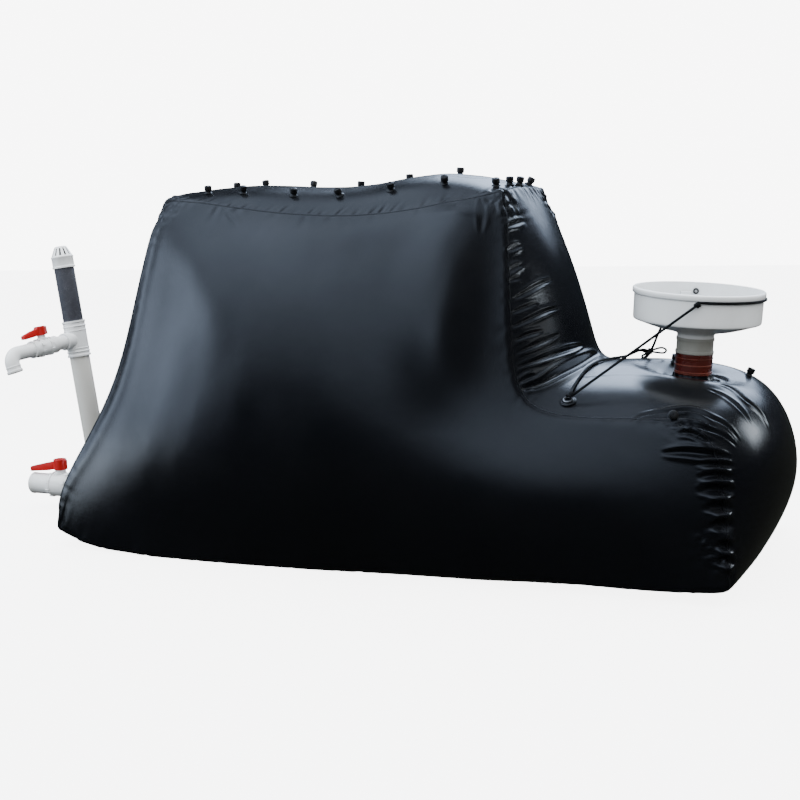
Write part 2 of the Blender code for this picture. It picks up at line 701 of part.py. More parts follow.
def add_valve(name, frame, size, bores, group, cutters):
    """A ball valve's body: two sockets, a swollen middle and the boss that carries the stem."""
    low, high, end_r, body_r, boss_r, boss_top, stem_r = size
    swell_low, swell_high = -body_r, body_r
    body = turned(name, [
        (0.0, high), (end_r, high), (end_r, swell_high + 0.006), (body_r, swell_high - 0.012),
        (body_r, swell_low + 0.012), (end_r, swell_low - 0.006), (end_r, low), (0.0, low)],
        group, WHITE)
    placed(body, frame)
    upright = frame @ Matrix.Rotation(math.radians(90.0), 4, "Y")
    boss = placed(rod("valve_boss", boss_r, 0.0, boss_top, cutters), upright)
    joined(body, [boss])
    through, sockets = bores
    holes = [placed(rod("valve_bore", through, low - 0.01, high + 0.01, cutters), frame)]
    holes += [placed(rod("valve_socket", radius, start, stop, cutters), frame)
              for radius, start, stop in sockets]
    holes += [placed(rod("stem_bore", stem_r + GAP, through + 0.003, boss_top + 0.01, cutters, 16), upright)]
    return joined(body, holes, "DIFFERENCE")


def lever_outline(length, thick, dip):
    """A lever's outline from the side: (along the blade, above the boss)."""
    return [(0.020, 0.0), (0.026, 0.008), (0.024, 0.036 * thick), (-0.018, 0.037 * thick),
            (-0.024, 0.028 * thick), (0.005 - length, 0.020 * thick - dip), (-length, 0.016 * thick - dip),
            (-length, 0.002 - dip), (0.005 - length, -dip), (-0.045, -0.4 * dip), (-0.020, 0.0)]


def add_lever(name, frame, boss_top, stem, shape, group, cutters):
    """A red handle: hub, stem and a blade that runs along the pipe, away from the tank."""
    pivot = add_empty(name + "_pivot", group, (0.0, 0.0, 0.0))
    pivot.matrix_world = frame @ Matrix.Rotation(math.radians(90.0), 4, "Y")
    base = boss_top + LEVER_LIFT
    outline = lever_outline(*shape)
    curve = bpy.data.curves.new(name, "CURVE")
    curve.dimensions = "2D"
    curve.fill_mode = "BOTH"
    curve.extrude = 0.011 * shape[1]
    line = curve.splines.new("POLY")
    line.points.add(len(outline) - 1)
    for spot, (x, y) in zip(line.points, outline):
        spot.co = (x, y, 0.0, 1.0)
    line.use_cyclic_u = True
    flat = add_object("lever_outline", curve, cutters)
    bm = bmesh.new()
    bm.from_mesh(evaluated_mesh(flat))
    bpy.data.objects.remove(flat, do_unlink=True)
    bmesh.ops.remove_doubles(bm, verts=bm.verts, dist=0.0001)
    stand = Matrix.Translation((0.0, 0.0, base)) @ Matrix.Rotation(math.radians(90.0), 4, "X")
    bmesh.ops.transform(bm, matrix=stand, verts=bm.verts)
    bmesh.ops.recalc_face_normals(bm, faces=bm.faces)
    lever = add_object(name, mesh_from(bm, name), group, RED)
    lever.parent = pivot
    stem_r, stem_low = stem
    hub = rod("lever_hub", HUB_R * shape[1], base - LEVER_LIFT / 3, base + 0.030 * shape[1], cutters)
    peg = rod("lever_stem", stem_r, stem_low, base + 0.01, cutters, 16)
    for piece in (hub, peg):
        placed(piece, pivot.matrix_world)
    return joined(lever, [hub, peg])


def add_upper_branch(out, group, cutters):
    """Branch pipe, valve, lever and the bent spout."""
    placed(turned("branch_pipe", tube_profile(BRANCH_R, PIPE_WALL, OUTLET_PIPE_R + 0.002,
                                              UPPER_VALVE - UPPER_VALVE_HALF + 0.022), group, WHITE), out)
    middle = out @ Matrix.Translation((0.0, 0.0, UPPER_VALVE))
    half = UPPER_VALVE_HALF
    sockets = [(BRANCH_R + GAP, -half - 0.01, 0.0225 - half), (BRANCH_R + GAP, half - 0.0225, half + 0.01)]
    size = (-half, half, BRANCH_R + 0.0045, UPPER_VALVE_R, 0.014, UPPER_BOSS, 0.0055)
    add_valve("spout_valve", middle, size, (BRANCH_R - PIPE_WALL, sockets), group, cutters)
    add_lever("spout_lever", middle, UPPER_BOSS, (0.0055, 0.0255), UPPER_LEVER, group, cutters)
    start = UPPER_VALVE + half - 0.022
    arc = [math.radians(11.25 * k) for k in range(9)]
    route = [Vector((0.0, 0.0, start)), Vector((0.0, 0.0, (start + SPOUT_REACH - SPOUT_BEND) / 2))]
    turn_at = SPOUT_REACH - SPOUT_BEND
    route += [Vector((-SPOUT_BEND * (1 - math.cos(a)), 0.0, turn_at + SPOUT_BEND * math.sin(a))) for a in arc]
    falls = (SPOUT_MOUTH + 0.002, SPOUT_MOUTH, 0.0)
    route += [Vector((fall - SPOUT_DROP, 0.0, SPOUT_REACH)) for fall in falls]
    spout = solid_cord("spout_elbow", route, BRANCH_R, group, WHITE, (1.1, 1.1))
    longer = [route[0] - Vector((0.0, 0.0, 0.01))] + route[1:-3] + [route[-1] - Vector((0.01, 0.0, 0.0))]
    bore = solid_cord("spout_bore", longer, BRANCH_R - PIPE_WALL, cutters)
    joined(spout, [bore], "DIFFERENCE")
    placed(spout, out @ Matrix.Rotation(SPOUT_TURN, 4, "Z"))


def solid_cord(name, points, radius, group, finish=None, swells=()):
    """A round bar along points, as a closed mesh."""
    bar = cord_path(name, points, radius, group, None, 4, swells)
    bm = bmesh.new()
    bm.from_mesh(evaluated_mesh(bar))
    bpy.data.objects.remove(bar, do_unlink=True)
    bmesh.ops.remove_doubles(bm, verts=bm.verts, dist=0.0001)
    bmesh.ops.recalc_face_normals(bm, faces=bm.faces)
    return add_object(name, mesh_from(bm, name), group, finish)


def add_drain(level, group, cutters):
    """Reducer, drain valve and lever, straight on from the lower tee."""
    bore = DRAIN_R - PIPE_WALL
    middle = level @ Matrix.Translation((0.0, 0.0, RISER_X - DRAIN_VALVE_X))
    low, high = DRAIN_VALVE_ENDS
    start = RISER_X - DRAIN_VALVE_X + low
    shoulder = OUTLET_PIPE_R + SOCKET_WALL
    placed(turned("drain_reducer", [
        (DRAIN_R, start + 0.025), (DRAIN_R, TEE_HALF + 0.014), (shoulder, TEE_HALF + 0.008),
        (shoulder, TEE_HALF + GAP), (OUTLET_PIPE_R, TEE_HALF + GAP),
        (OUTLET_PIPE_R, TEE_SOCKET), (bore, TEE_SOCKET), (bore, start + 0.025)], group, WHITE), level)
    add_valve("drain_valve", middle, (low, high, DRAIN_R + 0.0075, DRAIN_VALVE_R, 0.020, DRAIN_BOSS, 0.008),
              (bore, [(DRAIN_R + GAP, low - 0.01, low + 0.0255),
                      (DRAIN_R + GAP, high - 0.045, high + 0.01)]), group, cutters)
    add_lever("drain_lever", middle, DRAIN_BOSS, (0.008, 0.0325), DRAIN_LEVER, group, cutters)


def main():
    clear_scene()
    parts = new_collection("biogas_digester")
    cutters = new_collection("cutters")
    form = tank_form(cutters)
    tree = skin_tree(form)
    cutter = tank_cutter(form, cutters)
    panels = add_panels(form, parts)
    axis = add_inlet(panels, tree, cutter, parts, cutters)
    tie = add_anchor(tree, cutter, parts)
    add_guy_line(axis, tie, tree, parts)
    level = add_outlet(panels, tree, cutter, parts, cutters)
    out = add_riser(parts, cutters)
    add_upper_branch(out, parts, cutters)
    add_drain(level, parts, cutters)


main()
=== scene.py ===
"""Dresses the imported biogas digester: the inflated tank, its hopper, guy line, riser and valves."""
import logging
import math
import random
from dataclasses import dataclass, field
from enum import Enum
from typing import Callable, Iterable, Sequence

import bmesh
import bpy
import numpy as np
from mathutils import Matrix, Vector, noise
from mathutils.bvhtree import BVHTree


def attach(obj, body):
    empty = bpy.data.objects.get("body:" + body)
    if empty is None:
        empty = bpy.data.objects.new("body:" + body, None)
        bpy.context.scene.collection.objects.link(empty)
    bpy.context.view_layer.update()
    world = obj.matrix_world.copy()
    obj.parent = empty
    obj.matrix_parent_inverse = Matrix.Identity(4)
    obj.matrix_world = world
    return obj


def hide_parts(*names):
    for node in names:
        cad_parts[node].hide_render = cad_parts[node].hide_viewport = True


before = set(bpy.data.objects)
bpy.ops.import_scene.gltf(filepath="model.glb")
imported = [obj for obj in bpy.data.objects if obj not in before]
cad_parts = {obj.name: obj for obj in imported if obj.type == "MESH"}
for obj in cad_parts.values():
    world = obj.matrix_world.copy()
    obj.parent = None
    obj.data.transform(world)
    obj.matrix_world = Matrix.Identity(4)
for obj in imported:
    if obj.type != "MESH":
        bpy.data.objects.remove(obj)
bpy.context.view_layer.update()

LOG = logging.getLogger("digester")

# A point is x, y and z. A pair is a radius and a height, two ends or two sides
Point = tuple[float, float, float]
Pair = tuple[float, float]
Piece = bpy.types.Object
Skin = bmesh.types.BMesh
Socket = bpy.types.NodeSocket
Shader = bpy.types.Node

# The stand-in for a radius of zero, and the gap between pieces that touch
POLE = 0.000004
FIT = 0.0003
STILL = Matrix.Identity(4)


class Body(Enum):
    """The moving parts that a piece can ride on."""

    TANK = "digester"
    DRAIN = "drain_handle"
    SPOUT = "spout_handle"


class Slot(Enum):
    """The record's finishes."""

    FABRIC = "fabric"
    BROWN = "sewer_brown"
    WHITE = "white_plastic"
    GREY = "grey_plastic"
    CHARCOAL = "charcoal"
    RED = "red_plastic"
    CORD = "cord"
    RUBBER = "rubber"
    METAL = "ring_metal"


# Shared shader groups


def new_group(name: str, inputs: dict[str, float], output: str) -> bpy.types.NodeTree:
    """Starts a shader node group that works on a place.

    Args:
        name: the group's name.
        inputs: the name and default of each number that it takes, after the place.
        output: the name of the number that it gives.

    Returns:
        The group, with its input and output nodes named "in" and "out".
    """
    tree = bpy.data.node_groups.new(name, "ShaderNodeTree")
    tree.interface.new_socket("Place", in_out="INPUT", socket_type="NodeSocketVector")
    for label, default in inputs.items():
        socket = tree.interface.new_socket(label, in_out="INPUT", socket_type="NodeSocketFloat")
        socket.default_value = default
    tree.interface.new_socket(output, in_out="OUTPUT", socket_type="NodeSocketFloat")
    tree.nodes.new("NodeGroupInput").name = "in"
    tree.nodes.new("NodeGroupOutput").name = "out"
    return tree


@dataclass
class NodeSheet:
    """Adds and joins the nodes of one material or group."""

    tree: bpy.types.NodeTree

    def add(self, kind: str, settings: dict[str, object] | None = None,
            **inputs: object) -> Shader:
        """Adds a node.

        Args:
            kind: the node's type.
            settings: attributes to set on it.
            inputs: a value or an output socket for each input, by its name with _ for a space;
                a name such as i0 counts the inputs instead.

        Returns:
            The node.
        """
        node = self.tree.nodes.new(kind)
        for name, value in (settings or {}).items():
            setattr(node, name, value)
        self.feed(node, **inputs)
        return node

    def feed(self, node: Shader, **inputs: object) -> None:
        """Sets or joins inputs of a node, which are named as in add."""
        for name, value in inputs.items():
            if name[0] == "i" and name[1:].isdigit():
                socket = node.inputs[int(name[1:])]
            else:
                socket = node.inputs[name.replace("_", " ")]
            if isinstance(value, Socket):
                self.tree.links.new(value, socket)
            else:
                socket.default_value = value

    def math(self, operation: str, first: object, second: object = 0.0) -> Socket:
        """Adds a maths node and returns its output."""
        return self.add("ShaderNodeMath", {"operation": operation}, i0=first, i1=second).outputs[0]

    def mapped(self, value: object, low: float, high: float, to_low: float,
               to_high: float) -> Socket:
        """Adds a clamped Map Range node and returns its output."""
        return self.add("ShaderNodeMapRange", i0=value, i1=low, i2=high, i3=to_low,
                        i4=to_high).outputs[0]

    def noise(self, place: object, scale: float, detail: float = 3.0,
              roughness: float = 0.55) -> Socket:
        """Adds a noise texture and returns its factor."""
        return self.add("ShaderNodeTexNoise", Vector=place, Scale=scale, Detail=detail,
                        Roughness=roughness).outputs["Fac"]

    def group(self, name: str, **inputs: object) -> Socket:
        """Adds a shared group and returns its output."""
        return self.add("ShaderNodeGroup", {"node_tree": bpy.data.node_groups[name]}, **inputs).outputs[0]

    def mix(self, factor: object, first: object, second: object) -> Socket:
        """Adds a colour mix and returns its colour."""
        first, second = (value if isinstance(value, Socket) else (*value, 1.0)
                         for value in (first, second))
        return self.add("ShaderNodeMix", {"data_type": "RGBA"}, i0=factor, i6=first, i7=second).outputs[2]


def grain_group() -> None:
    """Fine moulding grain and a slow wobble, as one height."""
    tree = new_group("surface_grain", {"Grain": 400.0, "Wobble": 14.0}, "Height")
    sheet = NodeSheet(tree)
    given = tree.nodes["in"].outputs
    fine = sheet.add("ShaderNodeTexNoise", Vector=given["Place"], Scale=given["Grain"], Detail=2.0)
    slow = sheet.add("ShaderNodeTexNoise", Vector=given["Place"], Scale=given["Wobble"], Detail=2.0)
    height = sheet.math("ADD", sheet.math("MULTIPLY", fine.outputs["Fac"], 0.3), slow.outputs["Fac"])
    sheet.feed(tree.nodes["out"], Height=height)


def dust_group() -> None:
    """Dust that settles on what faces up, broken up by noise."""
    tree = new_group("settled_dust", {"Amount": 0.3}, "Mask")
    sheet = NodeSheet(tree)
    given = tree.nodes["in"].outputs
    normal = sheet.add("ShaderNodeNewGeometry").outputs["Normal"]
    upward = sheet.add("ShaderNodeSeparateXYZ", i0=normal).outputs[2]
    lying = sheet.mapped(upward, 0.15, 1.0, 0.0, 1.0)
    broken = sheet.mapped(sheet.noise(given["Place"], 7.0, 6.0, 0.7), 0.38, 0.7, 0.15, 1.0)
    mask = sheet.math("MULTIPLY", sheet.math("MULTIPLY", lying, broken), given["Amount"])
    sheet.feed(tree.nodes["out"], Mask=mask)


def grime_group() -> None:
    """Soft streaked dirt that runs down, as a mask."""
    tree = new_group("streaked_grime", {"Scale": 9.0}, "Mask")
    sheet = NodeSheet(tree)
    given = tree.nodes["in"].outputs
    stretched = sheet.add("ShaderNodeMapping", i0=given["Place"], Scale=(1.0, 1.0, 0.25)).outputs[0]
    streak = sheet.add("ShaderNodeTexNoise", Vector=stretched, Scale=given["Scale"], Detail=5.0,
                       Roughness=0.65)
    blot = sheet.noise(given["Place"], 31.0, 4.0, 0.6)
    both = sheet.math("MULTIPLY", sheet.mapped(streak.outputs["Fac"], 0.45, 0.75, 0.0, 1.0),
                      sheet.mapped(blot, 0.35, 0.65, 0.4, 1.0))
    sheet.feed(tree.nodes["out"], Mask=both)


# Finishes


@dataclass(frozen=True)
class Finish:
    """What every finish has.

    Attributes:
        name: the material's name.
        slot: the record's finish that it stands for.
        colour: its main colour, linear.
        roughness: lowest and highest roughness.
    """

    name: str
    slot: Slot
    colour: Point
    roughness: tuple[float, float]

    def material(self) -> bpy.types.Material:
        """Returns the material, made once."""
        made = bpy.data.materials.get(self.name)
        if made is None:
            made = bpy.data.materials.new(self.name)
            made.use_nodes = True
            sheet = NodeSheet(made.node_tree)
            place = sheet.add("ShaderNodeTexCoord").outputs["Object"]
            self.draw(sheet, made.node_tree.nodes["Principled BSDF"], place)
        return made

    def draw(self, sheet: NodeSheet, shader: Shader, place: Socket) -> None:
        """Lays out the nodes of this finish.

        Args:
            sheet: where they go.
            shader: the material's shader.
            place: the piece's own coordinates.
        """
        raise NotImplementedError

    def toned(self, share: float) -> Point:
        """Returns the main colour, darker or paler by a share."""
        return tuple(share * channel for channel in self.colour)

    def rough(self, sheet: NodeSheet, shader: Shader, place: object, scale: float) -> None:
        """Lets the gloss change over the surface."""
        low, high = self.roughness
        sheet.feed(shader, Roughness=sheet.mapped(sheet.noise(place, scale, 4.0), 0.3, 0.7, low, high))

    def bump(self, sheet: NodeSheet, shader: Shader, height: object, depth: float) -> None:
        """Feeds a height to the shader's normal."""
        node = sheet.add("ShaderNodeBump", Strength=1.0, Distance=depth, Height=height)
        sheet.feed(shader, Normal=node.outputs[0])


@dataclass(frozen=True)
class CoatedFabric(Finish):
    """Glossy coated membrane: a slow ripple, scrim threads under the coat and thin dust."""

    dust: float = 0.035

    def draw(self, sheet: NodeSheet, shader: Shader, place: Socket) -> None:
        """Lays out the coated fabric."""
        dust = sheet.group("settled_dust", Place=place, Amount=self.dust)
        tint = sheet.mix(sheet.noise(place, 2.3, 3.0), self.colour, self.toned(1.7))
        colour = sheet.mix(dust, tint, (0.17, 0.165, 0.155))
        sheet.feed(shader, Base_Color=colour, Specular_IOR_Level=0.5)
        self.rough(sheet, shader, place, 5.0)
        ripple = sheet.noise(place, 9.0, 2.0, 0.4)
        threads = [sheet.add("ShaderNodeTexWave", {"wave_type": "BANDS", "bands_direction": way},
                             Vector=place, Scale=180.0, Distortion=1.5).outputs["Fac"]
                   for way in ("X", "Z")]
        weave = sheet.math("MULTIPLY", sheet.math("ADD", *threads), 0.03)
        peel = sheet.math("MULTIPLY", sheet.noise(place, 120.0, 2.0), 0.10)
        height = sheet.math("ADD", sheet.math("ADD", ripple, peel), weave)
        self.bump(sheet, shader, height, 0.0012)


@dataclass(frozen=True)
class MouldedPlastic(Finish):
    """Moulded plastic with dirt in streaks and a fine grain."""

    dirt: Point = (0.20, 0.18, 0.14)
    dirtiness: float = 0.25
    grain: float = 0.00012
    gloss: float = 0.0

    def draw(self, sheet: NodeSheet, shader: Shader, place: Socket) -> None:
        """Lays out the plastic."""
        grime = sheet.group("streaked_grime", Place=place, Scale=9.0)
        dust = sheet.group("settled_dust", Place=place, Amount=self.dirtiness * 0.8)
        mask = sheet.math("MAXIMUM", sheet.math("MULTIPLY", grime, self.dirtiness), dust)
        cloud = sheet.mix(sheet.noise(place, 12.0), self.colour, self.toned(0.9))
        sheet.feed(shader, Base_Color=sheet.mix(mask, cloud, self.dirt), Coat_Weight=self.gloss,
                   Coat_Roughness=0.12)
        self.rough(sheet, shader, place, 24.0)
        grain = sheet.group("surface_grain", Place=place, Grain=900.0, Wobble=35.0)
        self.bump(sheet, shader, grain, self.grain)


@dataclass(frozen=True)
class SpeckledMesh(Finish):
    """The filter tube: dark mesh with pale specks."""

    speck: Point = (0.30, 0.31, 0.34)

    def draw(self, sheet: NodeSheet, shader: Shader, place: Socket) -> None:
        """Lays out the speckled tube."""
        cells = sheet.add("ShaderNodeTexVoronoi", Vector=place, Scale=420.0).outputs["Distance"]
        specks = sheet.mapped(cells, 0.10, 0.30, 0.75, 0.0)
        patches = sheet.mapped(sheet.noise(place, 60.0, 4.0, 0.7), 0.4, 0.65, 0.15, 1.0)
        tone = sheet.mix(sheet.noise(place, 30.0), self.colour, self.toned(1.8))
        sheet.feed(shader, Base_Color=sheet.mix(sheet.math("MULTIPLY", specks, patches), tone, self.speck))
        self.rough(sheet, shader, place, 40.0)
        self.bump(sheet, shader, cells, 0.0006)


@dataclass(frozen=True)
class BraidedCord(Finish):
    """Braided cord, its strands crossing along the piece's own UV map."""

    strands: float = 6.0
    pitch: float = 140.0

    def draw(self, sheet: NodeSheet, shader: Shader, place: Socket) -> None:
        """Lays out the braid."""
        split = sheet.add("ShaderNodeSeparateXYZ", i0=sheet.add("ShaderNodeUVMap").outputs[0])
        along = sheet.math("MULTIPLY", split.outputs[0], self.pitch * 2 * math.pi)
        round_ = sheet.math("MULTIPLY", split.outputs[1], self.strands * 2 * math.pi)
        right = sheet.math("SINE", sheet.math("ADD", along, round_))
        left = sheet.math("SINE", sheet.math("SUBTRACT", along, round_))
        braid = sheet.math("MAXIMUM", right, left)
        # The grooves between the strands are painted darker than the crests: painted shade.
        shade = sheet.mapped(braid, -0.2, 1.0, 0.0, 1.0)
        sheet.feed(shader, Base_Color=sheet.mix(shade, self.toned(0.4), self.colour))
        self.rough(sheet, shader, place, 90.0)
        self.bump(sheet, shader, braid, 0.0005)


@dataclass(frozen=True)
class WornMetal(Finish):
    """Plated wire with dull scratched patches."""

    def draw(self, sheet: NodeSheet, shader: Shader, place: Socket) -> None:
        """Lays out the metal."""
        wear = sheet.mapped(sheet.noise(place, 260.0, 5.0, 0.7), 0.45, 0.6, 0.0, 1.0)
        sheet.feed(shader, Base_Color=sheet.mix(wear, self.colour, self.toned(0.45)),
                   Metallic=sheet.mapped(wear, 0.0, 1.0, 1.0, 0.7))
        self.rough(sheet, shader, place, 300.0)
        self.bump(sheet, shader, wear, 0.00015)


MEMBRANE = CoatedFabric("coated_membrane", Slot.FABRIC, (0.0022, 0.0025, 0.0034), (0.17, 0.27))
WELD = CoatedFabric("welded_tape", Slot.FABRIC, (0.0022, 0.0024, 0.0030), (0.20, 0.30))
STITCH = CoatedFabric("weld_line", Slot.FABRIC, (0.0012, 0.0012, 0.0016), (0.45, 0.60), dust=0.01)
SEWER = MouldedPlastic("sewer_pipe", Slot.BROWN, (0.074, 0.0080, 0.0050), (0.22, 0.34),
                       (0.05, 0.022, 0.016), 0.22, gloss=0.3)
SEWER_RIB = MouldedPlastic("sewer_pipe_rib", Slot.BROWN, (0.17, 0.045, 0.031), (0.28, 0.42),
                           (0.10, 0.05, 0.04), 0.2)
HOPPER_WHITE = MouldedPlastic("hopper_plastic", Slot.WHITE, (0.76, 0.785, 0.81), (0.28, 0.42),
                              (0.34, 0.31, 0.26), 0.18, gloss=0.15)
COLLAR_GREY = MouldedPlastic("collar_plastic", Slot.GREY, (0.30, 0.305, 0.285), (0.30, 0.46),
                             (0.12, 0.11, 0.09), 0.35)
FITTING_WHITE = MouldedPlastic("fitting_plastic", Slot.WHITE, (0.82, 0.84, 0.86), (0.26, 0.42),
                               (0.30, 0.27, 0.21), 0.26, gloss=0.2)
PIPE_GREY = MouldedPlastic("riser_plastic", Slot.GREY, (0.56, 0.555, 0.53), (0.36, 0.52),
                           (0.30, 0.27, 0.22), 0.35)
LEVER_RED = MouldedPlastic("lever_plastic", Slot.RED, (0.44, 0.0060, 0.0065), (0.26, 0.40),
                           (0.20, 0.02, 0.015), 0.20, gloss=0.3)
FILTER = SpeckledMesh("filter_mesh", Slot.CHARCOAL, (0.028, 0.030, 0.040), (0.6, 0.8))
ROPE = BraidedCord("braided_cord", Slot.CORD, (0.0035, 0.0035, 0.0040), (0.6, 0.8))
PEG = MouldedPlastic("peg_plastic", Slot.RUBBER, (0.004, 0.004, 0.005), (0.30, 0.5),
                     (0.06, 0.06, 0.055), 0.3)
EYELET = MouldedPlastic("eyelet_rubber", Slot.RUBBER, (0.006, 0.006, 0.007), (0.45, 0.6))
WIRE = WornMetal("plated_wire", Slot.METAL, (0.52, 0.53, 0.55), (0.22, 0.4))


# Modelling by hand


def placed_piece(name: str, source: Skin | bpy.types.Mesh) -> Piece:
    """Returns a new object in the scene, from a mesh or from a skin that it uses up."""
    mesh = source
    if isinstance(source, Skin):
        mesh = bpy.data.meshes.new(name)
        source.to_mesh(mesh)
        source.free()
    piece = bpy.data.objects.new(name, mesh)
    bpy.context.collection.objects.link(piece)
    return piece


def clear_selection() -> None:
    """Leaves edit mode and selects nothing."""
    if bpy.context.object and bpy.context.object.mode != "OBJECT":
        bpy.ops.object.mode_set(mode="OBJECT")
    bpy.ops.object.select_all(action="DESELECT")


def take(piece: Piece) -> None:
    """Selects one piece alone and makes it active."""
    clear_selection()
    piece.select_set(True)
    bpy.context.view_layer.objects.active = piece


def apply_modifiers(piece: Piece) -> None:
    """Applies every modifier of a piece."""
    take(piece)
    for name in [modifier.name for modifier in piece.modifiers]:
        bpy.ops.object.modifier_apply(modifier=name)


def soften(piece: Piece, width: float, segments: int = 2, angle: float = 32.0) -> None:
    """Rounds a piece's sharp edges with an applied bevel."""
    bevel = piece.modifiers.new("rounding", "BEVEL")
    bevel.width = width
    bevel.segments = segments
    bevel.limit_method = "ANGLE"
    bevel.angle_limit = math.radians(angle)
    bevel.harden_normals = False
    apply_modifiers(piece)


def settle(piece: Piece, place: Matrix, smooth: float = 34.0) -> Piece:
    """Puts a finished piece where it belongs, with its place in its mesh.

    Args:
        piece: the piece, modelled about the origin.
        place: where it goes.
        smooth: edges flatter than this many degrees are shaded smooth.

    Returns:
        The piece.
    """
    take(piece)
    piece.matrix_world = place
    bpy.ops.object.transform_apply(location=True, rotation=True, scale=True)
    bpy.ops.object.shade_smooth_by_angle(angle=math.radians(smooth))
    return piece


def turned(name: str, profile: Sequence[Pair], segments: int = 64) -> Piece:
    """Draws a round part up from a circle, ring by ring, as on a lathe.

    Args:
        name: the piece's name.
        profile: the radius and height of each ring. A radius of zero closes an end, and a
            profile that ends where it starts closes a wall.
        segments: how many sides each ring has.

    Returns:
        The piece, about the origin.
    """
    clear_selection()
    radius, height = profile[0]
    bpy.ops.mesh.primitive_circle_add(vertices=segments, radius=max(radius, POLE))
    piece = bpy.context.object
    piece.name = name
    bpy.ops.object.mode_set(mode="EDIT")
    bpy.ops.mesh.select_all(action="SELECT")
    bpy.ops.transform.translate(value=(0.0, 0.0, height))
    for wider, higher in profile[1:]:
        bpy.ops.mesh.extrude_region_move(TRANSFORM_OT_translate={"value": (0.0, 0.0, higher - height)})
        scale = max(wider, POLE) / max(radius, POLE)
        bpy.ops.transform.resize(value=(scale, scale, 1.0), center_override=(0.0, 0.0, higher))
        radius, height = wider, higher
    bpy.ops.mesh.select_all(action="SELECT")
    bpy.ops.mesh.remove_doubles(threshold=0.00002)
    bpy.ops.mesh.normals_make_consistent(inside=False)
    bpy.ops.object.mode_set(mode="OBJECT")
    return piece


def select_faces(piece: Piece, towards: Point, beyond: float = -9.0) -> None:
    """In edit mode, selects the faces that look one way and lie beyond a place on that way."""
    way = Vector(towards)
    straight = 0.9
    bm = bmesh.from_edit_mesh(piece.data)
    bm.normal_update()
    wanted = [face for face in bm.faces
              if face.normal.dot(way) > straight and face.calc_center_median().dot(way) > beyond]
    for face in bm.faces:
        face.select_set(False)
    for face in wanted:
        face.select_set(True)
    bmesh.update_edit_mesh(piece.data)


def block(name: str, size: Point, centre: Point = (0.0, 0.0, 0.0)) -> Piece:
    """Adds a box to start a piece from."""
    clear_selection()
    bpy.ops.mesh.primitive_cube_add(size=1.0, location=centre, scale=size)
    piece = bpy.context.object
    piece.name = name
    bpy.ops.object.transform_apply(location=True, rotation=True, scale=True)
    return piece


def combine(piece: Piece, others: Iterable[Piece], operation: str = "UNION") -> None:
    """Works other solids into a piece with applied Booleans and removes them."""
    for other in others:
        cut = piece.modifiers.new("cut", "BOOLEAN")
        cut.operation = operation
        cut.solver = "EXACT"
        cut.object = other
        apply_modifiers(piece)
        bpy.data.objects.remove(other, do_unlink=True)


def gather(name: str, pieces: Sequence[Piece]) -> Piece:
    """Joins pieces into one object."""
    clear_selection()
    for piece in pieces:
        piece.select_set(True)
    bpy.context.view_layer.objects.active = pieces[0]
    if len(pieces) > 1:
        bpy.ops.object.join()
    pieces[0].name = name
    return pieces[0]


def mount(piece: Piece, finish: Finish, body: Body = Body.TANK, nodes: Sequence[str] = ()) -> None:
    """Dresses a finished piece and hangs it on its body.

    Args:
        piece: the piece.
        finish: what it is made of.
        body: the body that it rides on.
        nodes: the CAD nodes that it stands for.
    """
    piece.data.materials.clear()
    piece.data.materials.append(finish.material())
    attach(piece, body.value)
    if nodes:
        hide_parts(*nodes)
    LOG.info("%s: %d faces on %s", piece.name, len(piece.data.polygons), body.value)


def ruffle(piece: Piece, beyond: float, folds: int, wobble: float, depth: float) -> None:
    """Gathers a round fabric piece into small folds.

    Args:
        piece: the piece, about its own axis.
        beyond: the radius inside which it stays round.
        folds: how many folds there are.
        wobble: how unevenly they are spaced.
        depth: how deep they are.
    """
    for vert in piece.data.vertices:
        x, y, _ = vert.co
        reach = math.hypot(x, y)
        if reach > beyond:
            angle = math.atan2(y, x)
            pull = 1.0 + math.sin(folds * angle + wobble * math.sin(3 * angle)) * depth / reach
            vert.co.x, vert.co.y = x * pull, y * pull


def fitted(piece: Piece, place: Matrix, finish: Finish, nodes: Sequence[str] = (), bevel: float = 0.0,
           smooth: float = 34.0, body: Body = Body.TANK) -> None:
    """Rounds a piece's edges, puts it in its place and dresses it.

    Args:
        piece: the piece, modelled about the origin.
        place: where it goes.
        finish: what it is made of.
        nodes: the CAD nodes that it stands for.
        bevel: how wide its edges are rounded, or 0 where they are as they should be.
        smooth: edges flatter than this many degrees are shaded smooth.
        body: the body that it rides on.
    """
    if bevel:
        soften(piece, bevel)
    settle(piece, place, smooth)
    mount(piece, finish, body, nodes)


# The inflated tank


PANELS = range(6)
SIDE_FRONT, SIDE_BACK, SLOPE, ROOF, FOLD, FLOOR = PANELS


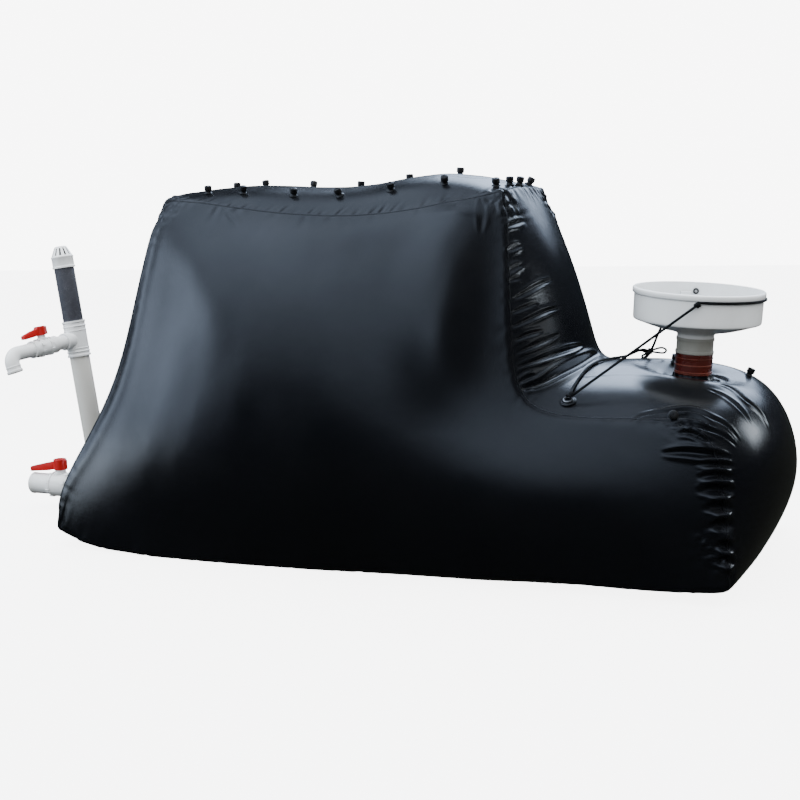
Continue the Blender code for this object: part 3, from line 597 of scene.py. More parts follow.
@dataclass
class TankOutline:
    """The seams of the tank, seen from the side, and how far its panels swell."""

    base_half: float = 0.475
    ridge_half: float = 0.195
    ridge_height: float = 1.14
    slope: list[Pair] = field(default_factory=lambda: [
        (-1.180, 0.050), (-1.165, 0.185), (-1.060, 0.335), (-0.960, 0.495), (-0.915, 0.655),
        (-0.900, 0.815), (-0.885, 0.985), (-0.855, 1.143)])
    step: list[Pair] = field(default_factory=lambda: [
        (0.42, 0.025), (0.43, 0.175), (0.44, 0.330), (0.445, 0.500), (0.408, 0.645),
        (0.388, 0.805), (0.365, 0.965), (0.335, 1.137)])
    end: list[Pair] = field(default_factory=lambda: [
        (1.062, 0.035), (1.045, 0.180), (1.022, 0.325), (1.0, 0.490)])
    roof_z: list[float] = field(default_factory=lambda: [1.143, 1.111, 1.075, 1.063, 1.079, 1.137])
    inlet_z: list[float] = field(default_factory=lambda: [0.500, 0.484, 0.494, 0.490])
    floor: list[Pair] = field(default_factory=lambda: [
        (-1.180, 0.050), (-1.020, 0.004), (-0.600, 0.000), (-0.250, 0.006), (0.100, 0.012),
        (0.420, 0.026), (0.630, 0.028), (0.850, 0.027), (1.062, 0.035)])
    floor_bow: list[float] = field(default_factory=lambda: [0.0, 0.030, 0.045, 0.015, 0.0, 0.0,
                                                            0.0, 0.0, 0.0])
    across: list[float] = field(default_factory=lambda: [-1.0, -0.72, -0.25, 0.25, 0.72, 1.0])
    bulge: list[float] = field(default_factory=lambda: [0.125, 0.125, 0.075, 0.105, 0.150, 0.080])
    roof_crest: list[Pair] = field(default_factory=lambda: [
        (-0.855, 1.0), (-0.617, 1.0), (-0.379, 0.78), (-0.141, 0.9), (0.097, 1.85), (0.335, 2.2)])
    fold_crest: list[Pair] = field(default_factory=lambda: [
        (0.035, 1.5), (0.18, 1.5), (0.325, 1.28), (0.49, 0.82), (0.645, 0.83), (0.805, 0.82),
        (0.965, 0.95), (1.137, 1.1)])
    end_crown: float = 0.012
    step_row: int = 3
    rounds: int = 400
    dimple_at: Pair = (0.8545, 0.0)
    dimple_radius: float = 0.215
    dimple_depth: float = 0.066
    dimple_above: float = 0.3

    def half_width(self, z: float) -> float:
        """Returns half of the tank's width at a height."""
        narrowing = (max(z, 0.0) / self.ridge_height) ** 2
        return self.base_half - (self.base_half - self.ridge_half) * narrowing

    def grid(self) -> dict[tuple[int, int], Pair]:
        """Returns x and z of each crossing of the side's columns and rows."""
        tall = len(self.roof_z) - 1
        low = len(self.inlet_z) - 1
        top = len(self.slope) - 1
        found: dict[tuple[int, int], Pair] = {}
        for row in range(top + 1):
            for column in range(tall + 1):
                t = column / tall
                found[column, row] = tuple(a + (b - a) * t for a, b in zip(self.slope[row], self.step[row]))
        for row in range(self.step_row + 1):
            for column in range(1, low + 1):
                t = column / low
                found[tall + column, row] = tuple(a + (b - a) * t
                                                  for a, b in zip(self.step[row], self.end[row]))
        for column, z in enumerate(self.roof_z):
            found[column, top] = (found[column, top][0], z)
        for column, z in enumerate(self.inlet_z):
            found[tall + column, self.step_row] = (found[tall + column, self.step_row][0], z)
        for column, spot in enumerate(self.floor):
            found[column, 0] = spot
        return found

    def wide(self, grid: dict[tuple[int, int], Pair], key: tuple[int, int]) -> float:
        """Returns half of the width at a crossing, with the floor seam's bow."""
        bow = self.floor_bow[key[0]] if key[1] == 0 else 0.0
        return self.half_width(grid[key][1]) + bow

    def crossing(self, grid: dict[tuple[int, int], Pair], key: tuple[int, int]) -> list[Point]:
        """Returns the points from the near seam to the far seam at a crossing."""
        x, z = grid[key]
        half = self.wide(grid, key)
        top = len(self.slope) - 1
        rise = self.end_crown if key in ((0, top), (len(self.roof_z) - 1, top)) else 0.0
        return [(x, half * t, z + rise * (1.0 - t * t)) for t in self.across]

    def cage(self) -> Skin:
        """Returns the closed coarse cage, flat between its seams, with each face's panel."""
        grid = self.grid()
        tall = len(self.roof_z) - 1
        end = tall + len(self.inlet_z) - 1
        top = len(self.slope) - 1
        bm = bmesh.new()
        layer = bm.faces.layers.int.new("panel")

        def lattice(rows: Sequence[Sequence[Point]], panel: int) -> None:
            """Adds quads over a grid of points."""
            corners = [[bm.verts.new(point) for point in row] for row in rows]
            for below, above in zip(corners, corners[1:]):
                for k in range(len(below) - 1):
                    bm.faces.new((below[k], below[k + 1], above[k + 1], above[k]))[layer] = panel

        for side, sign in ((SIDE_FRONT, -1.0), (SIDE_BACK, 1.0)):
            for rows, columns in ((range(self.step_row + 1), range(end + 1)),
                                  (range(self.step_row, top + 1), range(tall + 1))):
                lattice([[(grid[c, r][0], sign * self.wide(grid, (c, r)), grid[c, r][1])
                          for c in columns] for r in rows], side)
        runs = [(SLOPE, [(0, r) for r in range(top + 1)]),
                (ROOF, [(c, top) for c in range(tall + 1)]),
                (FOLD, [(tall, r) for r in range(top, self.step_row - 1, -1)]),
                (FOLD, [(c, self.step_row) for c in range(tall, end + 1)]),
                (FOLD, [(end, r) for r in range(self.step_row, -1, -1)]),
                (FLOOR, [(c, 0) for c in range(end, -1, -1)])]
        for panel, run in runs:
            lattice([self.crossing(grid, key) for key in run], panel)
        bmesh.ops.remove_doubles(bm, verts=bm.verts, dist=0.0001)
        bmesh.ops.recalc_face_normals(bm, faces=bm.faces)
        return bm

    def between(self, table: Sequence[Pair], x: float) -> float:
        """Returns the value at x on straight lines through a table."""
        for (x0, low), (x1, high) in zip(table, table[1:]):
            if x <= x1:
                return low + (high - low) * max(x - x0, 0.0) / (x1 - x0)
        return table[-1][1]

    def swell(self, bm: Skin) -> None:
        """Pushes each panel out between its seams, as a membrane under pressure."""
        layer = bm.faces.layers.int["panel"]
        bm.normal_update()
        moves = {}
        for panel, bulge in enumerate(self.bulge):
            inner = [v for v in bm.verts if all(f[layer] == panel for f in v.link_faces)]
            height = {vert: 0.0 for vert in inner}
            around = {vert: [edge.other_vert(vert) for edge in vert.link_edges] for vert in inner}
            for _ in range(self.rounds):
                for vert in inner:
                    near = around[vert]
                    height[vert] = sum(height.get(other, 0.0) for other in near) / len(near) + 1.0
            most = max(height.values())
            for vert, value in height.items():
                reach = 1.0
                if panel == FOLD:
                    reach = self.between(self.fold_crest, vert.co.z)
                elif panel == ROOF:
                    reach = self.between(self.roof_crest, vert.co.x)
                moves[vert] = vert.normal * (bulge * reach * value / most)
        for vert, move in moves.items():
            vert.co += move

    def dimple(self, x: float, y: float, z: float) -> float:
        """Returns how far the hopper's weight presses the skin down at a place."""
        apart = math.dist((x, y), self.dimple_at) / self.dimple_radius
        if z < self.dimple_above or apart > 1.0:
            return 0.0
        return self.dimple_depth * (1.0 - apart ** 2) ** 3


def crease_between_panels(bm: Skin, sharpness: Callable[[Vector, set[int]], float]) -> None:
    """Creases the edges where two panels meet.

    Args:
        bm: the skin.
        sharpness: gives the crease from an edge's middle and its two panels.
    """
    layer = bm.faces.layers.int["panel"]
    crease = bm.edges.layers.float.get("crease_edge") or bm.edges.layers.float.new("crease_edge")
    for edge in bm.edges:
        one, two = (face[layer] for face in edge.link_faces)
        middle = (edge.verts[0].co + edge.verts[1].co) / 2
        edge[crease] = sharpness(middle, {one, two}) if one != two else 0.0


def edge_ring(edge: bmesh.types.BMEdge) -> set[bmesh.types.BMEdge]:
    """Returns the edges across from each other in the row of quads that an edge crosses."""
    found = {edge}
    waiting = [edge]
    while waiting:
        current = waiting.pop()
        for face in current.link_faces:
            if len(face.verts) != 4:
                continue
            loops = list(face.loops)
            spot = [loop.edge for loop in loops].index(current)
            other = loops[(spot + 2) % 4].edge
            if other not in found:
                found.add(other)
                waiting.append(other)
    return found


def even_out(bm: Skin, longest: float) -> None:
    """Splits rows of quads until none is much longer than a length."""
    while True:
        seen: set[bmesh.types.BMEdge] = set()
        split = None
        for edge in bm.edges:
            if edge in seen:
                continue
            ring = edge_ring(edge)
            seen |= ring
            mean = sum(e.calc_length() for e in ring) / len(ring)
            if mean > longest:
                split = ring
                break
        if split is None:
            return
        bmesh.ops.subdivide_edges(bm, edges=list(split), cuts=1, use_grid_fill=True)


@dataclass(frozen=True)
class Puckers:
    """How the fabric gathers along one side of a seam.

    Attributes:
        spacing: mean distance between pinches along the seam.
        depth: how deep the pinches are.
        reach: how far they run from the seam.
        width: half of the width of a pinch.
        lean: how much they lean along the seam as they run out.
    """

    spacing: float
    depth: float
    reach: float
    width: float = 0.009
    lean: float = 0.0


@dataclass(frozen=True)
class Crease:
    """One crease of the fabric that is seen for itself.

    Attributes:
        points: where it runs.
        depth: how deep it is, or how proud where it is negative.
        width: half of its width.
        ridge: how much of its depth stands proud beside it.
        twin: whether the far side of the tank has the same one.
    """

    points: list[Point]
    depth: float
    width: float
    ridge: float = 0.5
    twin: bool = False

    def routes(self) -> list[list[Vector]]:
        """Returns its smooth route, and the far side's where there is one."""
        sides = (1.0, -1.0) if self.twin else (1.0,)
        return [smooth_route([(x, y * side, z) for x, y, z in self.points], 8) for side in sides]


def dent(off: np.ndarray, ridge: float, away: float, wide: float) -> np.ndarray:
    """Returns the cross section of a dent in the fabric, 1 deep.

    Args:
        off: how far each place is from the dent's middle, in half widths.
        ridge: how high the fabric stands proud beside it.
        away: how far off the ridge is.
        wide: half of the ridge's width.
    """
    return -np.exp(-off ** 2) + ridge * np.exp(-((off - away) / wide) ** 2)


def eased(t: np.ndarray) -> np.ndarray:
    """Returns a smooth rise from 0 to 1."""
    t = np.clip(t, 0.0, 1.0)
    return t * t * (3.0 - 2.0 * t)


@dataclass
class Seam:
    """A run of edges between two panels."""

    panels: tuple[int, int]
    line: np.ndarray

    def lengths(self) -> np.ndarray:
        """Returns how far along the seam each of its points lies."""
        steps = np.linalg.norm(np.diff(self.line, axis=0), axis=1)
        return np.concatenate([[0.0], np.cumsum(steps)])

    def measure(self, places: np.ndarray, stride: int = 4) -> tuple[np.ndarray, np.ndarray]:
        """Returns each place's distance from the seam and how far along it is nearest."""
        picks = list(range(0, len(self.line) - 1, stride)) + [len(self.line) - 1]
        line, along = self.line[picks], self.lengths()[picks]
        best = np.full(len(places), np.inf)
        where = np.zeros(len(places))
        for k in range(len(line) - 1):
            a, b = line[k], line[k + 1]
            run = b - a
            t = np.clip((places - a) @ run / max(float(run @ run), 1e-12), 0.0, 1.0)
            gap = np.linalg.norm(places - (a + t[:, None] * run), axis=1)
            nearer = gap < best
            best = np.where(nearer, gap, best)
            where = np.where(nearer, along[k] + t * (along[k + 1] - along[k]), where)
        return best, where


@dataclass
class TankSkin:
    """The inflated tank: one welded skin, gathered along its seams, cut into its panels."""

    outline: TankOutline = field(default_factory=TankOutline)
    coarse: float = 0.105
    levels: int = 4
    line_half: float = 0.0026
    line_thick: float = 0.0005
    line_inset: float = 0.013
    back_inset: float = 0.003
    line_depth: float = 0.0012
    seed: int = 11
    tree: BVHTree = field(init=False)
    # Where seams get blunt: near a corner, and from a place on along the inlet
    blunt_within: float = 0.10
    shoulder_from: float = 0.66
    shoulder_run: float = 0.25
    # Where the first pinch is, and how much stronger pinches get near a corner
    first_pinch: float = 0.02
    corner_more: float = 0.7
    corner_reach: float = 0.08
    longest_pinch: float = 0.30
    # How much a pinch widens as it runs out, and the part of its length where it deepens
    pinch_widens: float = 0.9
    pinch_deepens: float = 0.22
    # The ridge beside a pinch: how high it is, how far off, and half of its width
    pinch_ridge: Point = (0.45, 1.7, 0.9)
    # How unevenly pinches are drawn: shares of their style's figures, and what the lean changes by
    depth_shares: Pair = (0.35, 1.25)
    reach_shares: Pair = (0.55, 1.5)
    width_shares: Pair = (0.7, 1.4)
    lean_changes: Pair = (-0.18, 0.18)
    spacing_shares: Pair = (0.55, 1.5)
    # A crease wider than this is a swell and fades in and out slowly
    swell_width: float = 0.03
    swell_rise: float = 0.12
    swell_fall: float = 0.40
    # Any other crease thins out towards its ends, down to this share of its width
    crease_thins: float = 0.35
    # How many half widths off the fabric still moves, how far off the ridge is, and half of its width
    crease_reach: float = 3.2
    crease_ridge: Pair = (1.8, 0.8)
    # The scale and the depth of the noise that crumples the corners and bends the panels
    crumple_scale: float = 34.0
    crumple_least: float = 0.35
    uneven_scale: float = 3.1
    uneven_depth: float = 0.004

    # For each panel, its piece and the CAD nodes that the piece stands for
    pieces = {SIDE_FRONT: ("tank_front", "side_panel_front"), SIDE_BACK: ("tank_back", "side_panel_back"),
              SLOPE: ("tank_slope", "slope_panel"), ROOF: ("tank_roof", "roof_panel"),
              FOLD: ("tank_fold", "step_panel", "inlet_roof_panel", "inlet_end_panel"),
              FLOOR: ("tank_floor", "floor_panel")}
    # The corners where seams meet, and how sharp a seam stays there
    corners = [((-0.855, 0.195, 1.143), 0.26), ((-1.18, 0.475, 0.05), 0.28), ((1.062, 0.47, 0.035), 0.32),
               ((0.335, 0.197, 1.137), 0.34)]
    # How the fabric gathers on the first and on the second panel's side of a seam
    styles = {
        (SIDE_FRONT, SLOPE): (Puckers(0.060, 0.0010, 0.06), Puckers(0.08, 0.0018, 0.05)),
        (SIDE_FRONT, ROOF): (Puckers(0.11, 0.0018, 0.06), Puckers(0.045, 0.0017, 0.045, 0.006, 0.5)),
        (SIDE_FRONT, FLOOR): (Puckers(0.09, 0.0025, 0.08), Puckers(0.12, 0.002, 0.06)),
        (SLOPE, ROOF): (Puckers(0.05, 0.0030, 0.08), Puckers(0.05, 0.0030, 0.07)),
        (ROOF, FOLD): (Puckers(0.05, 0.0022, 0.06), Puckers(0.06, 0.0022, 0.06)),
        (SLOPE, FLOOR): (Puckers(0.07, 0.003, 0.07), Puckers(0.09, 0.002, 0.06)),
        (FOLD, FLOOR): (Puckers(0.07, 0.003, 0.07), Puckers(0.09, 0.002, 0.06)),
    }
    # The same between a side and the fold: down the step, along the inlet's roof and down its end
    step_style = (Puckers(0.060, 0.0014, 0.035), Puckers(0.027, 0.0021, 0.11, 0.0060, -0.62))
    inlet_style = (Puckers(0.20, 0.0008, 0.03), Puckers(0.10, 0.0008, 0.04))
    end_style = (Puckers(0.050, 0.0016, 0.06), Puckers(0.045, 0.0016, 0.07))
    step_until: float = 0.47
    inlet_until: float = 0.99
    # Down the step, round the inlet's shoulder and end, then the broad swells of the sides, the
    # rings at the foot of the inlet pipe and the small ones at the top
    creases = [
        Crease([(.426, -.377, .623), (.463, -.306, .638), (.498, -.197, .649), (.516, .0, .650)],
               .0060, .0075, .7),
        Crease([(.448, -.392, .566), (.485, -.332, .575), (.512, -.252, .591), (.536, -.066, .606),
                (.529, .127, .607)], .0150, .0140, .4),
        Crease([(.439, -.383, .583), (.456, -.352, .594), (.472, -.319, .599)], .0045, .0065, .6),
        Crease([(.394, -.319, .813), (.422, -.264, .832), (.444, -.193, .850), (.458, -.109, .862)],
               .0055, .0070, .8),
        Crease([(.405, -.345, .737), (.436, -.285, .755), (.463, -.207, .771), (.481, -.115, .778)],
               .0055, .0070, .8),
        Crease([(.398, -.333, .777), (.425, -.285, .790), (.452, -.218, .802)], .0042, .0060, .7),
        Crease([(.419, -.363, .664), (.457, -.288, .682), (.493, -.158, .701)], .0042, .0070, .7),
        Crease([(.355, -.249, 1.018), (.371, -.204, 1.031), (.383, -.140, 1.040)], .0060, .0070, .8),
        Crease([(.367, -.277, .952), (.381, -.246, .962), (.396, -.208, .969)], .0055, .0070, .8),
        Crease([(.376, -.299, .893), (.391, -.270, .905), (.408, -.230, .914)], .0050, .0065, .8),
        Crease([(.380, -.310, .867), (.395, -.283, .874), (.410, -.255, .878)], .0045, .0060, .8),
        Crease([(.413, -.352, .700), (.441, -.301, .713), (.470, -.231, .720)], .0040, .0065, .7),
        Crease([(.778, -.423, .490), (.801, -.402, .505), (.868, -.381, .515), (.929, -.358, .519),
                (.983, -.353, .501), (1.024, -.339, .475), (1.055, -.335, .437)], .0055, .0070, .7),
        Crease([(.798, -.413, .498), (.840, -.403, .503), (.888, -.394, .506), (.939, -.380, .503),
                (.988, -.379, .486), (1.027, -.358, .456)], .0055, .0065, .7),
        Crease([(.873, -.425, .484), (.929, -.409, .489), (.981, -.397, .478), (1.019, -.372, .456),
                (1.053, -.354, .424)], .0060, .0070, .8),
        Crease([(.901, -.431, .464), (.939, -.428, .468), (.977, -.429, .456), (1.004, -.407, .442)],
               .0055, .0070, .7),
        Crease([(.867, -.448, .413), (.926, -.443, .417), (.979, -.439, .414), (1.044, -.388, .397)],
               .0090, .0095, .8),
        Crease([(.959, -.447, .387), (1.011, -.440, .389), (1.054, -.384, .374)], .0065, .0080, .7),
        Crease([(.966, -.454, .353), (1.012, -.446, .357), (1.052, -.401, .345)], .0085, .0100, .7),
        Crease([(.967, -.460, .316), (1.014, -.452, .323), (1.058, -.404, .310)], .0110, .0130, .7),
        Crease([(.984, -.465, .269), (1.015, -.459, .275), (1.053, -.420, .265)], .0100, .0120, .7),
        Crease([(1.001, -.468, .221), (1.032, -.463, .228), (1.059, -.424, .218)], .0100, .0130, .7),
        Crease([(1.012, -.470, .168), (1.038, -.468, .172), (1.065, -.430, .159)], .0090, .0110, .7),
        Crease([(1.015, -.472, .127), (1.042, -.470, .131), (1.068, -.432, .118)], .0080, .0110, .7),
        Crease([(.955, -.152, .566), (.999, -.145, .548), (1.044, -.164, .524), (1.077, -.143, .487),
                (1.107, -.152, .444)], .0045, .0080, .8),
        Crease([(.946, -.224, .561), (.994, -.226, .540), (1.040, -.235, .509), (1.074, -.238, .466)],
               .0035, .0085, .8),
        Crease([(.245, -.220, 1.135), (.235, -.270, 1.040), (.215, -.330, .960), (.205, -.375, .850),
                (.200, -.420, .740), (.205, -.445, .620), (.215, -.470, .520), (.22, -.480, .44)],
               -.0290, .1020, .0, True),
        Crease([(.10, -.205, 1.110), (.10, -.290, .985), (.11, -.365, .845), (.12, -.420, .720),
                (.13, -.465, .600), (.14, -.490, .480)], -.0050, .1700, .0, True),
        Crease([(-.825, -.20, 1.11), (-.852, -.275, .985), (-.865, -.345, .815), (-.880, -.40, .655),
                (-.925, -.445, .495), (-1.022, -.475, .335), (-1.12, -.485, .20), (-1.15, -.485, .10)],
               -.0050, .0300, .0, True),
        Crease([(-.845, -.207, 1.117), (-.748, -.278, 1.003), (-.634, -.361, .895), (-.529, -.442, .761),
                (-.455, -.502, .615)], -.0075, .0850, .0, True),
        Crease([(-.855, -.215, 1.100), (-.824, -.298, .941), (-.811, -.368, .784), (-.844, -.414, .626),
                (-.895, -.461, .435), (-.955, -.487, .273)], -.0028, .0600, .0, True),
        *[Crease([(.8545 + reach * math.cos(math.radians(a)), reach * math.sin(math.radians(a)), .52)
                  for a in range(first, first + 141, 20)], .0056, .0062, .8)
          for reach, first in ((.078, 150), (.104, 165), (.078, -75), (.104, -60))],
        Crease([(.267, -.209, 1.110), (.288, -.235, 1.060), (.293, -.269, 1.002)], .0022, .0090, .6),
        Crease([(-.604, -.227, 1.089), (-.535, -.266, 1.047)], .0012, .0070, .6),
    ]
    # Where the fabric is crumpled, how far round and how deep
    crumples = [((0.352, -0.195, 1.10), 0.070, 0.0050), ((0.348, 0.205, 1.10), 0.085, 0.0075),
                ((-0.86, -0.20, 1.12), 0.10, 0.0045), ((-0.86, 0.20, 1.12), 0.10, 0.0045),
                ((0.90, -0.415, 0.487), 0.07, 0.0018), ((0.95, 0.40, 0.480), 0.10, 0.0035),
                ((1.03, -0.455, 0.16), 0.10, 0.0045), ((1.03, 0.455, 0.20), 0.12, 0.0050)]

    def skin_mesh(self) -> Skin:
        """Returns the smooth unwrinkled skin, with even quads."""
        bm = self.outline.cage()
        self.outline.swell(bm)
        crease_between_panels(bm, lambda middle, panels: 1.0)
        bm = self.rounded(bm, 1)
        even_out(bm, self.coarse)
        crease_between_panels(bm, self.softness)
        bm = self.rounded(bm, self.levels)
        for vert in bm.verts:
            vert.co.z = max(vert.co.z - self.outline.dimple(*vert.co), 0.0)
        bm.normal_update()
        return bm

    def softness(self, middle: Vector, panels: set[int]) -> float:
        """Returns how sharp a seam stays there: blunt at corners and round the inlet's shoulder."""
        side, roof, floor, shoulder = 0.52, 0.40, 0.44, 0.26
        sharp = side
        if FOLD in panels and middle.x > self.shoulder_from:
            sharp = side - shoulder * min((middle.x - self.shoulder_from) / self.shoulder_run, 1.0)
        elif ROOF in panels:
            sharp = roof
        elif FLOOR in panels:
            sharp = floor
        for corner, blunt in self.corners:
            near = (Vector((middle.x, abs(middle.y), middle.z)) - Vector(corner)).length
            if near < self.blunt_within:
                sharp = min(sharp, blunt)
        return sharp

    def rounded(self, bm: Skin, levels: int) -> Skin:
        """Returns the mesh after an applied Subdivision Surface."""
        piece = placed_piece("tank", bm)
        smooth = piece.modifiers.new("round", "SUBSURF")
        smooth.levels = levels
        smooth.render_levels = levels
        apply_modifiers(piece)
        rounded = bmesh.new()
        rounded.from_mesh(piece.data)
        bpy.data.objects.remove(piece, do_unlink=True)
        return rounded

    def seams(self, bm: Skin) -> list[Seam]:
        """Returns the runs of edges between two panels, corner to corner."""
        layer = bm.faces.layers.int["panel"]
        pairs: dict[bmesh.types.BMEdge, tuple[int, int]] = {}
        for edge in bm.edges:
            one, two = sorted(face[layer] for face in edge.link_faces)
            if one != two:
                pairs[edge] = (one, two)
        found = []
        left = set(pairs)
        ends = [v for v in bm.verts if len({pairs[e] for e in v.link_edges if e in pairs}) > 1]
        for corner in ends:
            for first in [e for e in corner.link_edges if e in left]:
                if first not in left:
                    continue
                pair = pairs[first]
                vert, edge, line = corner, first, [corner.co.copy()]
                while edge is not None:
                    left.discard(edge)
                    vert = edge.other_vert(vert)
                    line.append(vert.co.copy())
                    further = [e for e in vert.link_edges if e in left and pairs[e] == pair]
                    edge = further[0] if further and vert not in ends else None
                if line[0].x > line[-1].x:
                    line.reverse()
                found.append(Seam(pair, np.array([list(p) for p in line])))
        return found

    def style(self, panels: tuple[int, int], spot: np.ndarray) -> tuple[Puckers, Puckers]:
        """Returns how the fabric gathers on each side of a seam at a place on it."""
        pair = (SIDE_FRONT if panels[0] == SIDE_BACK else panels[0], panels[1])
        if pair != (SIDE_FRONT, FOLD):
            return self.styles[pair]
        if spot[0] < self.step_until:
            return self.step_style
        return self.inlet_style if spot[0] < self.inlet_until else self.end_style

    def gathers(self, seam: Seam, side: int, places: np.ndarray, draw: random.Random) -> np.ndarray:
        """Returns how far each place moves out or in from the pinches along one side of a seam."""
        gap, along = seam.measure(places)
        runs = seam.lengths()
        total = float(runs[-1])
        height = np.zeros(len(places))
        spot = self.first_pinch
        while spot < total:
            style = self.style(seam.panels, seam.line[int(np.searchsorted(runs, spot)) - 1])[side]
            corner = 1.0 + self.corner_more * math.exp(-min(spot, total - spot) / self.corner_reach)
            depth = style.depth * draw.uniform(*self.depth_shares) * corner
            reach = style.reach * draw.uniform(*self.reach_shares) * corner
            width = style.width * draw.uniform(*self.width_shares)
            lean = style.lean + draw.uniform(*self.lean_changes)
            near = gap < reach
            spread = width * (1.0 + self.pinch_widens * gap[near] / reach)
            off = np.abs(along[near] - spot - lean * gap[near]) / spread
            across = dent(off, *self.pinch_ridge)
            t = gap[near] / reach
            height[near] += (depth * across * np.clip(t / self.pinch_deepens, 0.0, 1.0) ** 0.8
                             * (1.0 - t) ** 1.5)
            spot += style.spacing * draw.uniform(*self.spacing_shares)
        return height

    def folds(self, co: np.ndarray, tree: BVHTree) -> np.ndarray:
        """Returns how far each place moves for the creases that are seen for themselves."""
        height = np.zeros(len(co))
        for crease in self.creases:
            for route in crease.routes():
                seam = Seam((0, 0), np.array([list(tree.find_nearest(spot)[0]) for spot in route]))
                low, high = seam.line.min(axis=0), seam.line.max(axis=0)
                outside = np.maximum(low - co, co - high).max(axis=1)
                chosen = np.flatnonzero(outside < self.crease_reach * crease.width)
                gap, run = seam.measure(co[chosen], 1)
                part = np.clip(run / seam.lengths()[-1], 0.0, 1.0)
                if crease.width > self.swell_width:
                    fade = eased(part / self.swell_rise) * eased((1.0 - part) / self.swell_fall)
                    off = gap / crease.width
                else:
                    fade = np.sin(np.pi * part) ** 0.6
                    off = gap / (crease.width * (self.crease_thins + (1.0 - self.crease_thins) * fade))
                height[chosen] += crease.depth * fade * dent(off, crease.ridge, *self.crease_ridge)
        return height

    def crumpled(self, co: np.ndarray) -> np.ndarray:
        """Returns the crumpling where seams come together."""
        height = np.zeros(len(co))
        for centre, radius, depth in self.crumples:
            apart = np.linalg.norm(co - np.array(centre), axis=1) / radius
            for i in np.flatnonzero(apart < 1.0):
                place = Vector(co[i]) * self.crumple_scale
                value = abs(noise.noise(place)) + 0.5 * abs(noise.noise(place * 2.1))
                height[i] += depth * (1.0 - apart[i] ** 2) * (value - self.crumple_least) * 2.0
        return height

    def wrinkle(self, bm: Skin) -> None:
        """Gathers the panels along their seams and lays in the creases."""
        draw = random.Random(self.seed)
        layer = bm.faces.layers.int["panel"]
        verts = list(bm.verts)
        co = np.array([list(v.co) for v in verts])
        normal = np.array([list(v.normal) for v in verts])
        groups = [{face[layer] for face in v.link_faces} for v in verts]
        inner = {panel: np.array([i for i, g in enumerate(groups) if g == {panel}]) for panel in PANELS}
        height = np.zeros(len(verts))
        for seam in self.seams(bm):
            low, high = seam.line.min(axis=0), seam.line.max(axis=0)
            for side, panel in enumerate(seam.panels):
                chosen = inner[panel]
                outside = np.maximum(low - co[chosen], co[chosen] - high).max(axis=1)
                chosen = chosen[outside < self.longest_pinch]
                height[chosen] += self.gathers(seam, side, co[chosen], draw)
        height += self.broad(co, normal) + self.folds(co, BVHTree.FromBMesh(bm)) + self.crumpled(co)
        moved = co + normal * height[:, None]
        moved[:, 2] = np.maximum(moved[:, 2], 0.0)
        for vert, place in zip(verts, moved):
            vert.co = place
        bm.normal_update()

    def broad(self, co: np.ndarray, normal: np.ndarray) -> np.ndarray:
        """Returns the slow unevenness of the stretched fabric, with none where it lies level."""
        level = 0.98
        values = [noise.noise(Vector(p) * self.uneven_scale) * self.uneven_depth for p in co]
        return np.array(values) * (np.abs(normal[:, 2]) < level)

    def build(self) -> None:
        """Makes the skin, cuts it into its panels and dresses them."""
        bm = self.skin_mesh()
        self.wrinkle(bm)
        self.tree = BVHTree.FromBMesh(bm)
        self.weld_lines(self.seams(bm))
        for panel, (name, *nodes) in self.pieces.items():
            part = bm.copy()
            layer = part.faces.layers.int["panel"]
            bmesh.ops.delete(part, geom=[f for f in part.faces if f[layer] != panel], context="FACES")
            piece = placed_piece(name, part)
            for polygon in piece.data.polygons:
                polygon.use_smooth = True
            mount(piece, MEMBRANE, Body.TANK, nodes)
        bm.free()

    def weld_lines(self, seams: Sequence[Seam]) -> None:
        """Lays the thin dark weld line beside every seam but those along the floor."""
        bm = bmesh.new()
        steps = [self.line_half * k / 2 for k in range(-2, 3)]
        for seam in seams:
            line = [Vector(spot) for spot in seam.line[::2]]
            if len(line) < 4 or FLOOR in seam.panels:
                continue
            inset = 0.0
            if FOLD in seam.panels:
                inset = self.line_inset if SIDE_FRONT in seam.panels else self.back_inset
            tops, unders = [], []
            for k, spot in enumerate(line):
                run = (line[min(k + 1, len(line) - 1)] - line[max(k - 1, 0)]).normalized()
                way = self.tree.find_nearest(spot)[1]
                inward = run.cross(way).normalized()
                if inward.y * spot.y > 0.0:
                    inward.negate()
                middle, way, _, _ = self.tree.find_nearest(spot + inward * inset)
                side = run.cross(way).normalized()
                row = []
                for step in steps:
                    seat, facing, _, _ = self.tree.find_nearest(middle + side * step)
                    lift = self.line_thick if abs(step) < self.line_half * 0.9 else 0.0
                    row.append((seat + facing * lift, seat - way * self.line_depth))
                tops.append([bm.verts.new(top) for top, _ in row])
                unders.append([bm.verts.new(under) for _, under in row])
            for k in range(len(line) - 1):
                for j in range(len(steps) - 1):
                    bm.faces.new((tops[k][j], tops[k + 1][j], tops[k + 1][j + 1], tops[k][j + 1]))
                    bm.faces.new((unders[k][j], unders[k][j + 1], unders[k + 1][j + 1], unders[k + 1][j]))
                for j in (0, len(steps) - 1):
                    bm.faces.new((tops[k][j], unders[k][j], unders[k + 1][j], tops[k + 1][j]))
            for k in (0, len(line) - 1):
                bm.faces.new(tops[k] + list(reversed(unders[k])))
        bmesh.ops.recalc_face_normals(bm, faces=bm.faces)
        fitted(placed_piece("weld_lines", bm), STILL, STITCH, smooth=60.0)

    def on_skin(self, x: float, y: float) -> tuple[Vector, Vector]:
        """Returns where a line straight down meets the skin, and the skin's normal there."""
        spot, way, _, _ = self.tree.ray_cast(Vector((x, y, 2.0)), Vector((0.0, 0.0, -1.0)))
        return spot, way


# Frames shared with the fittings


def along(foot: Sequence[float], way: Vector) -> Matrix:
    """Returns a frame at a foot whose Z runs along a direction."""
    return Matrix.Translation(foot) @ way.to_track_quat("Z", "Y").to_matrix().to_4x4()


